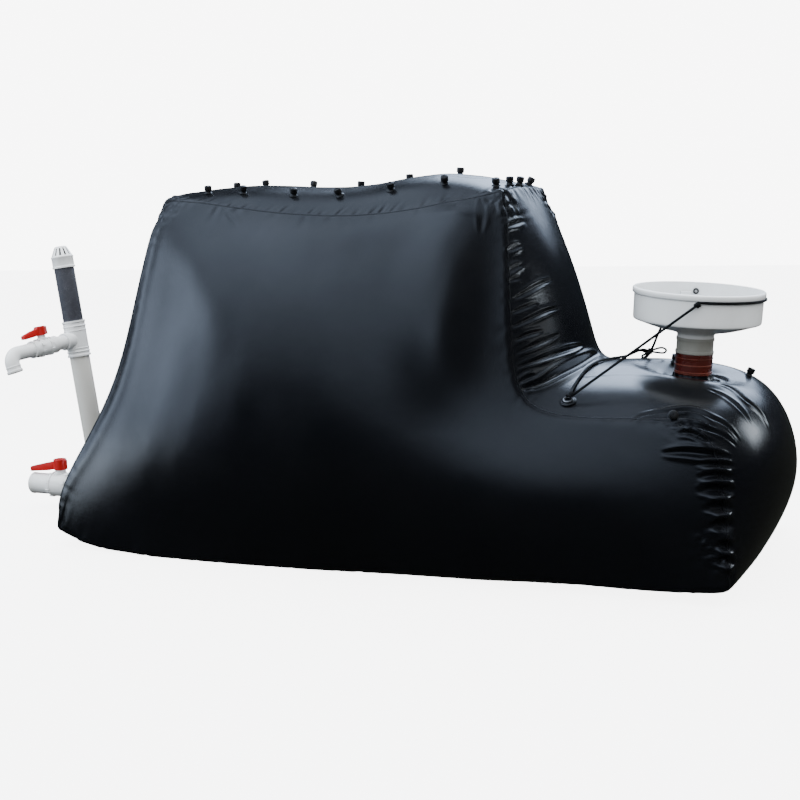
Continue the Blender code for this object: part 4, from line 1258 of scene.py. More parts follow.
def turn(degrees: float, axis: str) -> Matrix:
    """Returns a turn about an axis."""
    return Matrix.Rotation(math.radians(degrees), 4, axis)


def shift(x: float = 0.0, y: float = 0.0, z: float = 0.0) -> Matrix:
    """Returns a shift."""
    return Matrix.Translation((x, y, z))


RISER_FOOT = (-1.327, 0.0, 0.088)
LEVEL = Matrix.Translation(RISER_FOOT) @ turn(-90.0, "Y")
RISER = Matrix.Translation(RISER_FOOT) @ turn(-7.6, "Y")
BRANCH = RISER @ shift(z=0.557) @ turn(82.0, "Z") @ turn(-93.0, "Y")
INLET = Matrix.Translation((0.8545, 0.0, 0.545021)) @ turn(4.3, "Y") @ turn(1.0, "X")


# Cords and other swept pieces


def smooth_route(points: Sequence[Sequence[float]], per_span: int) -> list[Vector]:
    """Returns a Catmull-Rom curve through a route's points."""
    spots = [Vector(point) for point in points]
    spots = [2 * spots[0] - spots[1]] + spots + [2 * spots[-1] - spots[-2]]
    route = []
    for a, b, c, d in zip(spots, spots[1:], spots[2:], spots[3:]):
        for k in range(per_span):
            t = k / per_span
            route.append(0.5 * ((2 * b) + (c - a) * t + (2 * a - 5 * b + 4 * c - d) * t ** 2
                                + (3 * b - a - 3 * c + d) * t ** 3))
    return route + [spots[-2]]


def swept(name: str, route: Sequence[Vector], radii: Sequence[float] | float, sides: int = 12,
          closed: bool = False) -> Piece:
    """Sweeps a round section along a route, with a UV map in metres along and turns round.

    Args:
        name: the piece's name.
        route: the middle line.
        radii: one radius, or one for each point.
        sides: how many sides the section has.
        closed: whether the route ends where it starts.

    Returns:
        The piece, where its route is.
    """
    count = len(route)
    sizes = [radii] * count if isinstance(radii, float) else list(radii)
    bm = bmesh.new()
    uv = bm.loops.layers.uv.new("UVMap")
    ahead = [(route[min(k + 1, count - 1)] - route[max(k - 1, 0)]).normalized() for k in range(count)]
    if closed:
        ahead = [(route[(k + 1) % count] - route[k - 1]).normalized() for k in range(count)]
    side = ahead[0].orthogonal().normalized()
    rings, length, lengths = [], 0.0, []
    for k, spot in enumerate(route):
        side = (side - ahead[k] * side.dot(ahead[k])).normalized()
        up = ahead[k].cross(side)
        length += (spot - route[k - 1]).length if k else 0.0
        lengths.append(length)
        angles = [2 * math.pi * j / sides for j in range(sides)]
        rings.append([bm.verts.new(spot + (side * math.cos(a) + up * math.sin(a)) * sizes[k])
                      for a in angles])
    last = count if closed else count - 1
    for k in range(last):
        ring, following = rings[k], rings[(k + 1) % count]
        for j in range(sides):
            face = bm.faces.new((ring[j], ring[(j + 1) % sides], following[(j + 1) % sides], following[j]))
            face.smooth = True
            for loop, (row, column) in zip(face.loops, ((0, j), (0, j + 1), (1, j + 1), (1, j))):
                loop[uv].uv = (lengths[(k + row) % count], column / sides)
    if not closed:
        bm.faces.new(list(reversed(rings[0])))
        bm.faces.new(rings[-1])
    bmesh.ops.recalc_face_normals(bm, faces=bm.faces)
    return placed_piece(name, bm)


def polar(angle: float, radius: float, height: float = 0.0) -> Vector:
    """Returns the point at an angle and a radius round Z."""
    return Vector((radius * math.cos(angle), radius * math.sin(angle), height))


def ring_of(centre: Vector, way: Vector, radius: float, count: int) -> list[Vector]:
    """Returns the points of a circle round a direction."""
    place = along(centre, way)
    return [place @ polar(2 * math.pi * k / count, radius) for k in range(count)]


# The hopper and its inlet pipe


@dataclass
class Hopper:
    """Fabric sleeve, ribbed sewer pipe, neck and wide bowl, leaning together."""

    pipe_radius: float = 0.055
    neck_less: float = 0.0005
    wall: float = 0.0032
    bowl_wall: float = 0.003
    depth: float = 0.12
    pipe_top: float = 0.088
    neck_top: float = 0.136
    bowl_radius: float = 0.188
    bowl_floor: float = 0.188
    bowl_top: float = 0.281
    lip: float = 0.0062
    lip_height: float = 0.016
    block_angle: float = 114.0
    block_height: float = 0.239
    eyelet_angle: float = 104.0
    eyelet_height: float = 0.253

    def sleeve(self) -> None:
        """Makes the gathered fabric cone that the pipe comes out of."""
        r = self.pipe_radius
        cone = turned("inlet_cuff", [
            (r + 0.0006, 0.026), (r + 0.0032, 0.027), (r + 0.0045, 0.020), (r + 0.0085, 0.013),
            (r + 0.015, 0.006), (r + 0.025, 0.0), (r + 0.034, -0.007), (r + 0.034, -0.012),
            (r + 0.0006, -0.012), (r + 0.0006, 0.026)], 96)
        ruffle(cone, r + 0.002, 17, 1.3, 0.0011)
        fitted(cone, INLET, WELD, ["inlet_sleeve"], smooth=50.0)

    def pipe(self) -> None:
        """Makes the sewer pipe, with its socket ring and ribs."""
        r, top = self.pipe_radius, self.pipe_top
        tube = turned("inlet_sewer_pipe", [
            (r, -self.depth), (r, 0.030), (r + 0.0004, 0.034), (r + 0.0004, top - 0.002), (r - 0.001, top),
            (r - self.wall, top), (r - self.wall, -self.depth), (r, -self.depth)], 80)
        fitted(tube, INLET, SEWER, ["inlet_pipe"], 0.0004)
        ribs = []
        for height, tall in ((0.0535, 0.0042), (0.0325, 0.0042), (0.0290, 0.0018), (0.0745, 0.0022)):
            ribs.append(turned("pipe_rib", [
                (r + 0.0002, height), (r + 0.0017, height + tall * 0.2), (r + 0.0017, height + tall * 0.8),
                (r + 0.0002, height + tall), (r - 0.001, height + tall), (r - 0.001, height),
                (r + 0.0002, height)], 80))
        fitted(gather("inlet_pipe_ribs", ribs), INLET, SEWER_RIB)

    def neck(self) -> None:
        """Makes the neck between the pipe and the bowl."""
        r = self.pipe_radius - self.neck_less
        inner = self.pipe_radius - self.wall - FIT
        top, foot = self.neck_top, self.pipe_top + FIT
        neck = turned("hopper_collar", [
            (r, foot), (r + 0.0024, foot + 0.001), (r + 0.0024, foot + 0.008), (r, foot + 0.0095),
            (r, top - 0.010), (r + 0.0018, top - 0.0085), (r + 0.0018, top), (inner - self.wall, top),
            (inner - self.wall, foot - 0.038), (inner, foot - 0.040), (inner, foot), (r, foot)], 80)
        fitted(neck, INLET, COLLAR_GREY, ["hopper_neck"], 0.0005)

    def bowl(self) -> None:
        """Makes the bowl with its rolled lip, sloping floor and foot ring."""
        r, floor, top, lip = self.bowl_radius, self.bowl_floor, self.bowl_top, self.bowl_radius + self.lip
        neck, foot = self.pipe_radius - self.neck_less, self.neck_top + FIT
        inside = r - self.bowl_wall
        under = top - self.lip_height
        outer = [(neck, foot), (neck, foot + 0.008), (neck + 0.0015, foot + 0.011),
                 (neck + 0.007, foot + 0.0145), (r * 0.50, floor - 0.0285), (r * 0.60, floor - 0.0255),
                 (r * 0.76, floor - 0.0165), (r * 0.90, floor - 0.0075),
                 (r * 0.978, floor - 0.0026), (r * 0.990, floor - 0.0014), (r * 0.997, floor + 0.0010),
                 (r, floor + 0.0045), (r + 0.0001, floor + 0.012),
                 (r + 0.0008, under - 0.0045), (r - 0.0016, under - 0.0026), (r - 0.0016, under - 0.0004),
                 (r, under), (lip - 0.0008, under),
                 (lip, under + 0.0012), (lip, top - 0.0045), (lip - 0.0010, top - 0.0015),
                 (lip - 0.0032, top)]
        inner = [(inside + 0.001, top), (inside - 0.0004, top - 0.0014), (inside - 0.0012, floor + 0.014),
                 (inside * 0.985, floor + 0.0065), (inside * 0.95, floor + 0.002), (r * 0.86, floor - 0.005),
                 (r * 0.70, floor - 0.0145), (neck * 1.40, foot + 0.0225), (neck + 0.003, foot + 0.0175),
                 (neck - 0.0045, foot + 0.0125), (neck - 0.006, foot + 0.008), (neck - 0.006, foot),
                 (neck, foot)]
        fitted(turned("hopper_dish", outer + inner, 128), INLET, HOPPER_WHITE, ["hopper_bowl"], smooth=40.0)

    def on_wall(self, degrees: float, radius: float, height: float) -> Matrix:
        """Returns a frame inside the bowl, with X away from the bowl's middle."""
        angle = math.radians(degrees)
        return INLET @ Matrix.Translation(polar(angle, radius, height)) @ Matrix.Rotation(angle, 4, "Z")

    def block(self) -> None:
        """Makes the small block on the bowl's inner wall, with its screw recess."""
        radius = self.bowl_radius - self.bowl_wall - 0.007 - 0.0012
        cube = block("hopper_bracket", (0.014, 0.032, 0.026))
        bpy.ops.object.mode_set(mode="EDIT")
        select_faces(cube, (-1.0, 0.0, 0.0))
        bpy.ops.mesh.inset(thickness=0.006)
        bpy.ops.transform.translate(value=(0.004, 0.0, 0.0))
        bpy.ops.object.mode_set(mode="OBJECT")
        soften(cube, 0.0022, 3)
        fitted(cube, self.on_wall(self.block_angle, radius, self.block_height), HOPPER_WHITE,
               ["hopper_block"])

    def eyelet(self) -> None:
        """Makes the dark eyelet beside the block."""
        radius = self.bowl_radius - self.bowl_wall - 0.0036
        grommet = turned("hopper_grommet", [
            (0.0046, -0.0022), (0.0070, -0.0028), (0.0094, -0.0016), (0.0094, 0.0006), (0.0066, 0.0022),
            (0.0046, 0.0022), (0.0038, 0.0), (0.0046, -0.0022)], 32)
        place = self.on_wall(self.eyelet_angle, radius, self.eyelet_height)
        fitted(grommet, place @ turn(90.0, "Y"), EYELET, ["hopper_eyelet"])

    def build(self) -> None:
        """Makes the whole hopper."""
        self.sleeve()
        self.pipe()
        self.neck()
        self.bowl()
        self.block()
        self.eyelet()


# The guy line


@dataclass
class GuyLine:
    """The cord that steadies the bowl: its anchor, its run, its knots and the bow."""

    tank: TankSkin
    hopper: Hopper
    radius: float = 0.0040
    band: Pair = (-76.8, 119.2)
    knot_at: Point = (0.695, 0.130, 0.618)
    over_tank: list[Point] = field(default_factory=lambda: [
        (0.668, 0.110, 0.020), (0.628, 0.098, 0.004), (0.596, 0.040, 0.001), (0.577, -0.036, 0.001),
        (0.572, -0.130, 0.001), (0.572, -0.212, 0.001), (0.574, -0.287, 0.002), (0.576, -0.330, 0.006)])
    anchor_at: Point = (0.577, -0.359, 0.530792)
    anchor_way: Point = (0.02715, -0.400752, 0.915784)
    knot_cord: float = 0.0034
    bow_cord: float = 0.0033

    def anchor(self) -> Vector:
        """Makes the welded patch and its ring, and returns where the cord ties on."""
        spot, way = Vector(self.anchor_at), Vector(self.anchor_way)
        place = along(spot, way)
        patch = turned("anchor_weld", [
            (0.0, 0.0042), (0.006, 0.0042), (0.012, 0.0040), (0.0175, 0.0036), (0.0185, 0.0030),
            (0.0195, 0.0034), (0.0225, 0.0030), (0.0240, 0.0018), (0.0245, -0.004), (0.0, -0.004)], 48)
        fitted(patch, place, WELD, ["anchor_patch"])
        wire = swept("anchor_loop", ring_of(spot + way * 0.0068, way, 0.0125, 40), 0.0025, 14, True)
        mount(wire, WIRE, nodes=["anchor_ring"])
        staple = swept("anchor_strap", smooth_route([
            place @ Vector(p) for p in ((-0.006, 0.0105, 0.003), (-0.0035, 0.0125, 0.0085),
                                        (0.0035, 0.0125, 0.0085), (0.006, 0.0105, 0.003))], 4), 0.0016, 8)
        mount(staple, WELD)
        return spot + way * 0.0131

    def cord(self, tie: Vector) -> list[Vector]:
        """Makes the cord from its anchor round the bowl and back, and returns its band's points."""
        reach = self.hopper.bowl_radius + 0.002 + self.radius + FIT
        height = self.hopper.bowl_top - self.hopper.lip_height - self.radius - FIT
        low, high = (math.radians(angle) for angle in self.band)
        band = [INLET @ polar(low + (high - low) * k / 60, reach, height) for k in range(61)]
        start = tie + Vector((0.010, 0.002, 0.004))
        knot = Vector(self.knot_at)
        back = [band[-1], band[-1].lerp(knot, 0.35), band[-1].lerp(knot, 0.7), knot]
        for x, y, lift in self.over_tank:
            spot, way = self.tank.on_skin(x, y)
            back.append(spot + way * (self.radius + lift))
        back.append(tie + Vector((-0.004, 0.006, 0.004)))
        front = [start.lerp(band[0], k / 12) for k in range(12)]
        line = swept("guy_cord", front + band[:-1] + smooth_route(back, 6), self.radius, 14)
        mount(line, ROPE, nodes=["guy_line"])
        return band

    def knots(self, tie: Vector, band: Sequence[Vector]) -> None:
        """Makes the knots: at the anchor, under the lip, and the bow with its loops and tails."""
        right = Vector((0.912, 0.41, 0.0))
        near = Vector((0.38, -0.92, 0.0))
        up = Vector((0.0, 0.0, 1.0))
        knot = Vector(self.knot_at)

        def wrap(centre: Vector, way: Vector, turns: float, width: float, size: float) -> Piece:
            """Makes a few turns wound round the cord."""
            place = along(centre, way)
            steps = int(turns * 16)
            route = [place @ polar(2 * math.pi * k / 16, size, width * (k / steps - 0.5))
                     for k in range(steps + 1)]
            return swept("knot", route, self.knot_cord, 10)

        def drawn(route: list[Point]) -> Piece:
            """Makes a loop or a tail from places right, near and up of the bow's knot."""
            spots = [knot + right * a + near * b + up * c for a, b, c in route]
            return swept("bow", smooth_route(spots, 6), self.bow_cord, 10)

        tied = (band[0] - tie).normalized()
        slack = (band[-1] - knot).normalized()
        cords = [
            wrap(tie + tied * 0.012, tied, 2.6, 0.015, 0.0052),
            wrap(band[0] - tied * 0.010, tied, 2.2, 0.014, 0.0054),
            wrap(knot, slack, 2.4, 0.014, 0.0058),
            drawn([(0.0, 0.002, 0.002), (0.016, 0.008, 0.008), (0.036, 0.010, 0.012), (0.050, 0.006, 0.004),
                   (0.044, -0.002, -0.006), (0.022, -0.003, -0.004), (0.002, 0.0, 0.0)]),
            drawn([(0.0, 0.004, 0.0), (-0.012, 0.014, -0.004), (-0.026, 0.018, -0.010),
                   (-0.024, 0.012, -0.018), (-0.008, 0.006, -0.010), (0.0, 0.0, -0.002)]),
            drawn([(0.0, 0.002, 0.0), (-0.012, 0.004, 0.006), (-0.026, 0.006, 0.008),
                   (-0.040, 0.004, 0.003)]),
            drawn([(0.0, 0.004, -0.002), (-0.006, 0.012, -0.010), (-0.017, 0.018, -0.018),
                   (-0.026, 0.022, -0.0245)]),
        ]
        mount(gather("guy_bow", cords), ROPE)

    def build(self) -> None:
        """Makes the anchor, the cord and its knots."""
        tie = self.anchor()
        self.knots(tie, self.cord(tie))


# Pegs on the skin


@dataclass
class Pegs:
    """The short pegs that stand on the roof and the inlet, one model copied to each place."""

    tank: TankSkin
    places: list[Pair] = field(default_factory=lambda: [
        (-0.72, -0.135), (-0.584, -0.140), (-0.394, -0.146), (-0.228, -0.148), (-0.05, -0.148),
        (0.125, -0.135), (0.292, -0.135), (-0.74, 0.085), (-0.62, 0.08), (-0.44, 0.08), (-0.26, 0.075),
        (-0.08, 0.07), (0.10, 0.06), (0.318, -0.085), (0.326, -0.018), (0.322, 0.085), (0.775, 0.125),
        (1.0, 0.125), (0.885, -0.390)])
    lean: float = 0.2
    seed: int = 5

    def build(self) -> None:
        """Makes one peg, copies it to every place and joins them."""
        peg = turned("peg", [
            (0.0, -0.006), (0.0120, -0.006), (0.0150, 0.0), (0.0112, 0.0022), (0.0092, 0.0040),
            (0.0088, 0.0062), (0.0100, 0.0074), (0.0116, 0.0086), (0.0120, 0.0105), (0.0120, 0.0210),
            (0.0112, 0.0230), (0.0092, 0.0240), (0.0040, 0.0240), (0.0034, 0.0226), (0.0, 0.0226)], 24)
        draw = random.Random(self.seed)
        copies = []
        for x, y in self.places:
            spot, way = self.tank.on_skin(x, y)
            leant = Vector((draw.uniform(-self.lean, self.lean), draw.uniform(-self.lean, self.lean), 0.0))
            tilt = (way + leant).normalized()
            copies.append(settle(placed_piece("peg", peg.data.copy()), along(spot, tilt), 40.0))
        bpy.data.objects.remove(peg, do_unlink=True)
        mount(gather("tank_pegs", copies), PEG)


# Pipes, tees and valves


@dataclass
class PipeWork:
    """The outlet, the riser with its vent and spout, and the drain."""

    radius: float = 0.036
    wall: float = 0.0032
    socket: float = 0.0035
    branch_radius: float = 0.025
    spout_valve: float = 0.164
    drain_valve: float = 0.188
    upper_boss: float = 0.043
    drain_boss: float = 0.058

    def tube(self, name: str, ends: Pair, place: Matrix, finish: Finish, node: str,
             radius: float | None = None) -> None:
        """Makes a plain pipe with softened ends."""
        r = self.radius if radius is None else radius
        low, high = ends
        piece = turned(name, [(r, low), (r, high), (r - self.wall, high), (r - self.wall, low), (r, low)], 72)
        fitted(piece, place, finish, [node], 0.0006)

    def socketed(self, name: str, radius: float, ends: Pair, bands: Sequence[Pair] = ()) -> Piece:
        """Makes a fitting's solid body, with a raised lip at each mouth and ridge bands.

        Args:
            name: the piece's name.
            radius: its plain radius.
            ends: where it starts and stops on its axis.
            bands: the middle and the height of each further ridge.

        Returns:
            The body about its own axis.
        """
        low, high = ends
        bead = radius + 0.0025
        profile: list[Pair] = [(0.0, low), (bead, low), (bead, low + 0.006), (radius, low + 0.009)]
        for middle, rise in sorted(bands):
            profile += [(radius, middle - 0.0030), (radius + rise, middle - 0.0014),
                        (radius + rise, middle + 0.0014), (radius, middle + 0.0030)]
        profile += [(radius, high - 0.009), (bead, high - 0.006), (bead, high), (0.0, high)]
        return turned(name, profile, 72)

    def bored(self, piece: Piece, radius: float, low: float, high: float, place: Matrix = STILL) -> None:
        """Cuts a round bore into a piece."""
        rod = turned("bore", [(0.0, low), (radius, low), (radius, high), (0.0, high)], 48)
        combine(piece, [settle(rod, place)], "DIFFERENCE")

    def outlet(self) -> None:
        """Makes the outlet pipe, its fabric cuff and the lower tee."""
        reach = -0.142
        self.tube("outlet_stub", (reach - 0.09, -0.040), LEVEL, PIPE_GREY, "outlet_pipe")
        bore = self.radius + FIT
        cuff = turned("outlet_cuff", [
            (bore, reach + 0.030), (bore + 0.003, reach + 0.030), (bore + 0.0046, reach + 0.018),
            (bore + 0.010, reach + 0.012), (bore + 0.019, reach + 0.005), (bore + 0.021, reach - 0.026),
            (bore, reach - 0.030), (bore, reach + 0.030)], 96)
        ruffle(cuff, bore + 0.002, 15, 0.0, 0.0009)
        fitted(cuff, LEVEL, WELD, ["outlet_collar"], smooth=50.0)
        outside = self.radius + self.socket
        tee = settle(self.socketed("drain_tee", outside, (-0.066, 0.066),
                                   ((-0.048, 0.0014), (0.048, 0.0014))), LEVEL)
        arm = settle(self.socketed("arm", outside - 0.0008, (-0.02, 0.078), ((0.060, 0.0014),)), RISER)
        combine(tee, [arm])
        self.bored(tee, bore, -0.08, 0.08, LEVEL)
        self.bored(tee, bore - 0.0004, 0.0, 0.09, RISER)
        soften(tee, 0.0008, 2, 30.0)
        fitted(tee, STILL, FITTING_WHITE, ["outlet_tee"])

    def riser(self) -> None:
        """Makes the riser pipe, the upper tee, the filter tube and the vent cap."""
        self.tube("riser_tube", (self.radius + 0.006, 0.524), RISER, PIPE_GREY, "riser_pipe")
        self.tube("vent_filter", (0.584, 0.845), RISER, FILTER, "filter_tube")
        low, high = 0.493, 0.624
        tee = settle(self.socketed("upper_tee", self.radius + self.socket, (low, high), (
            (low + 0.018, 0.0020), (low + 0.030, 0.0012), (high - 0.020, 0.0020), (high - 0.036, 0.0012))),
            RISER)
        arm = settle(turned("arm", [
            (0.0, 0.02), (0.0315, 0.02), (0.0315, 0.040), (0.0290, 0.045), (0.0290, 0.0555),
            (0.0312, 0.057), (0.0312, 0.064), (0.0, 0.064)], 64), BRANCH)
        combine(tee, [arm])
        self.bored(tee, self.radius + FIT, low - 0.01, high + 0.01, RISER)
        self.bored(tee, self.branch_radius + FIT, 0.0, 0.08, BRANCH)
        soften(tee, 0.0009, 2, 30.0)
        fitted(tee, STILL, FITTING_WHITE, ["vent_tee"])
        self.cap()

    def cap(self) -> None:
        """Makes the vent cap: a lipped skirt and a cone with slots all round, and a dark plug behind the
        slots as painted shade.
        """
        foot, shoulder, top = 0.819, 0.862, 0.899
        bore, skin, crown = self.radius + FIT, self.radius + 0.0029, 0.0215
        cap = turned("vent_cowl", [
            (bore, foot), (skin + 0.0020, foot), (skin + 0.0020, foot + 0.0055), (skin, foot + 0.008),
            (skin, shoulder - 0.007), (skin + 0.0014, shoulder - 0.005), (skin + 0.0014, shoulder - 0.001),
            (skin - 0.001, shoulder + 0.001), (crown + 0.0005, top - 0.004), (crown - 0.003, top - 0.0008),
            (crown - 0.008, top), (0.0, top), (0.0, top - 0.005), (crown - 0.003, top - 0.006),
            (bore - 0.001, shoulder - 0.002), (bore, shoulder - 0.004), (bore, foot)], 96)
        slots, count = [], 12
        for k in range(count):
            slot = block("slot", (0.034, 0.0070, 0.028))
            bpy.ops.object.mode_set(mode="EDIT")
            select_faces(slot, (0.0, 0.0, 1.0))
            bpy.ops.transform.resize(value=(1.0, 0.68, 1.0))
            bpy.ops.object.mode_set(mode="OBJECT")
            middle = shift(0.0340, 0.0, (top + shoulder) / 2 - 0.001)
            slots.append(settle(slot, turn(360.0 * k / count, "Z") @ middle @ turn(-17.0, "Y")))
        combine(cap, [gather("slots", slots)], "DIFFERENCE")
        soften(cap, 0.0005, 1, 40.0)
        fitted(cap, RISER, FITTING_WHITE, ["vent_cap"], smooth=38.0)
        # A dark solid fills the cap under its cone: painted shade, so the slots read dark.
        shade_plug = turned("vent_shade_plug", [(0.0, 0.847), (0.0335, 0.847), (0.0335, shoulder - 0.003),
                                        (crown - 0.0050, top - 0.0072), (0.0, top - 0.0072)], 48)
        fitted(shade_plug, RISER, EYELET)

    def valve(self, name: str, place: Matrix, ends: Pair, sizes: tuple[float, float, float, float],
              bore: float, node: str) -> None:
        """Makes a ball valve's body, with its union nuts and stem boss.

        Args:
            name: the piece's name.
            place: the valve's middle, with Z along its pipe.
            ends: where the body starts and stops.
            sizes: the radius of its ends, its middle and its boss, and how high the boss is.
            bore: the radius of its mouths.
            node: the CAD node that it stands for.
        """
        low, high = ends
        end, middle, boss, boss_top = sizes
        body = turned(name, [
            (0.0, low), (end + 0.0012, low), (end + 0.0012, low + 0.005), (end, low + 0.007),
            (end, -middle - 0.006), (middle - 0.004, -middle + 0.004), (middle, -middle + 0.012),
            (middle, -middle + 0.020), (middle - 0.0016, -middle + 0.0215),
            (middle - 0.0016, middle - 0.0215), (middle, middle - 0.020), (middle, middle - 0.012),
            (middle - 0.004, middle - 0.004),
            (end, middle + 0.006), (end, high - 0.007), (end + 0.0012, high - 0.005),
            (end + 0.0012, high), (0.0, high)], 72)
        lugs, count = [], 8
        for side in (-1.0, 1.0):
            for k in range(count):
                lug = block("lug", (0.0032, middle * 0.26, 0.016))
                lugs.append(settle(lug, turn(360.0 * (k + 0.5) / count, "Z")
                                   @ shift(middle - 0.0004, 0.0, side * (middle - 0.012))))
        combine(body, [gather("lugs", lugs)])
        stem = settle(turned("boss", [
            (0.0, 0.0), (boss + 0.0030, 0.0), (boss + 0.0030, middle + 0.0005), (boss, middle + 0.0035),
            (boss, boss_top), (0.0, boss_top)], 40), turn(90.0, "Y"))
        combine(body, [stem])
        self.bored(body, bore, low - 0.01, low + 0.030)
        self.bored(body, bore, high - 0.030, high + 0.01)
        fitted(body, place, FITTING_WHITE, [node], 0.0008)

    def lever(self, name: str, place: Matrix, base: float, sizes: tuple[float, float, float], body: Body,
              node: str, stem: Pair) -> None:
        """Makes a red handle: a hub cap, a stem and a blade that thins and dips towards its tip.

        Args:
            name: the piece's name.
            place: the joint's frame, with Z up the stem and the blade towards -X.
            base: how high the handle starts.
            sizes: the blade's length, the handle's thickness and how far the blade dips.
            body: the body that turns with it.
            node: the CAD node that it stands for.
            stem: the stem's radius and how low it reaches.
        """
        length, thick, dip = sizes
        half = 0.011 * thick
        high = 0.036 * thick
        blade = block(name, (0.044, 2 * half, high), (0.004, 0.0, high / 2))
        bpy.ops.object.mode_set(mode="EDIT")
        reaches = [(-0.024, 0.030 * thick, 0.0), (-0.045, 0.026 * thick, -0.4 * dip),
                   (0.006 - length, 0.020 * thick - dip, -dip), (-length, 0.017 * thick - dip, 0.002 - dip)]
        spot, top, low = -0.018, high, 0.0
        for x, over, under in reaches:
            select_faces(blade, (-1.0, 0.0, 0.0), -spot - 0.0005)
            bpy.ops.mesh.extrude_region_move(TRANSFORM_OT_translate={
                "value": (x - spot, 0.0, (over + under - top - low) / 2)})
            bpy.ops.transform.resize(value=(1.0, 1.0, (over - under) / (top - low)),
                                     center_override=(x, 0.0, (over + under) / 2))
            spot, top, low = x, over, under
        bpy.ops.mesh.select_all(action="DESELECT")
        bpy.ops.object.mode_set(mode="OBJECT")
        soften(blade, 0.0018 * thick, 3, 20.0)
        settle(blade, shift(z=base), 40.0)
        r = 0.0242 * thick
        tall = 0.030 * thick
        hub = settle(turned("hub", [
            (0.0, -0.0004), (r - 0.001, -0.0004), (r, 0.0006), (r, tall + 0.008 * thick),
            (r - 0.0015, tall + 0.0095 * thick), (r * 0.55, tall + 0.0095 * thick),
            (r * 0.50, tall + 0.0075 * thick), (0.0, tall + 0.0075 * thick)], 48), shift(z=base))
        peg = settle(turned("stem", [
            (0.0, stem[1]), (stem[0], stem[1]), (stem[0], base + 0.01), (0.0, base + 0.01)], 24), STILL)
        combine(blade, [hub, peg])
        fitted(blade, place, LEVER_RED, [node], smooth=40.0, body=body)

    def spout(self) -> None:
        """Makes the branch pipe, its valve and lever, and the bent spout with its ridged mouth."""
        half, seated = 0.056, 0.022
        self.tube("branch_tube", (self.radius + 0.002, self.spout_valve - half + seated), BRANCH,
                  FITTING_WHITE, "branch_pipe", self.branch_radius)
        place = BRANCH @ shift(z=self.spout_valve)
        self.valve("upper_valve", place, (-half, half), (self.branch_radius + 0.0045, 0.0325, 0.014,
                                                         self.upper_boss), self.branch_radius + FIT,
                   "spout_valve")
        self.lever("upper_lever", place @ turn(90.0, "Y"), self.upper_boss + 0.0006, (0.086, 0.8, 0.0035),
                   Body.SPOUT, "spout_lever", (0.0055, 0.0255))
        start, reach, bend = self.spout_valve + half - seated, 0.325, 0.037
        line = [Vector((0.0, 0.0, start + (reach - bend - start) * k / 6)) for k in range(6)]
        arc = [math.radians(90.0 * k / 16) for k in range(17)]
        line += [Vector((-bend * (1 - math.cos(a)), 0.0, reach - bend + bend * math.sin(a))) for a in arc]
        radii = [self.branch_radius] * len(line)
        # How far down each ring of the mouth is, and how much wider than the pipe
        mouth = [(0.0395, 0.0), (0.0400, 0.0), (0.0412, 0.0013), (0.0440, 0.0013), (0.0452, 0.0),
                 (0.0462, 0.0), (0.0540, 0.0), (0.0550, 0.0016), (0.0560, 0.0026), (0.0610, 0.0026),
                 (0.0630, 0.0022), (0.064, 0.0010)]
        line += [Vector((-fall, 0.0, reach)) for fall, _ in mouth]
        radii += [self.branch_radius + wider for _, wider in mouth]
        elbow = swept("spout_bend", line, radii, 48)
        inner = [line[0] - Vector((0.0, 0.0, 0.01))] + line[1:-1] + [line[-1] - Vector((0.01, 0.0, 0.0))]
        combine(elbow, [swept("bore", inner, self.branch_radius - self.wall, 48)], "DIFFERENCE")
        fitted(elbow, BRANCH @ turn(10.0, "Z"), FITTING_WHITE, ["spout_elbow"], smooth=38.0)

    def drain(self) -> None:
        """Makes the reducer, the drain valve and its lever."""
        low, high, seated = 0.085, 0.125, 0.025
        r, start, shoulder = 0.0315, self.drain_valve - low, self.radius + self.socket
        reducer = turned("drain_bush", [
            (r, start + seated), (r, 0.082), (r + 0.001, 0.080), (shoulder, 0.0745), (shoulder, 0.0663),
            (self.radius, 0.0663), (self.radius, 0.040), (r - self.wall, 0.040),
            (r - self.wall, start + seated), (r, start + seated)], 72)
        fitted(reducer, LEVEL, FITTING_WHITE, ["drain_reducer"], 0.0007)
        place = LEVEL @ shift(z=self.drain_valve)
        self.valve("lower_valve", place, (-low, high), (0.039, 0.046, 0.020, self.drain_boss), r + FIT,
                   "drain_valve")
        self.lever("lower_lever", place @ turn(90.0, "Y"), self.drain_boss + 0.0006, (0.133, 1.0, 0.0125),
                   Body.DRAIN, "drain_lever", (0.008, 0.0325))

    def build(self) -> None:
        """Makes all the pipework."""
        self.outlet()
        self.riser()
        self.spout()
        self.drain()


# Floor, light and camera


@dataclass(frozen=True)
class Glow:
    """One soft patch of the sky that the glossy skin mirrors.

    Attributes:
        strength: how bright it is.
        ramps: for an axis, where the patch has faded out and where it is full.
    """

    strength: float
    ramps: tuple[tuple[str, float, float], ...]


@dataclass(frozen=True)
class Softbox:
    """One area light, either to light the plastics or to be mirrored in the fabric.

    Attributes:
        name: its name.
        place: where it hangs.
        aim: the place that it faces.
        size: its two sides.
        power: its power in watts.
        colour: its colour.
        mirrored: whether reflections alone see it, or all but reflections.
    """

    name: str
    place: Point
    aim: Point
    size: Pair
    power: float
    colour: Point
    mirrored: bool = False


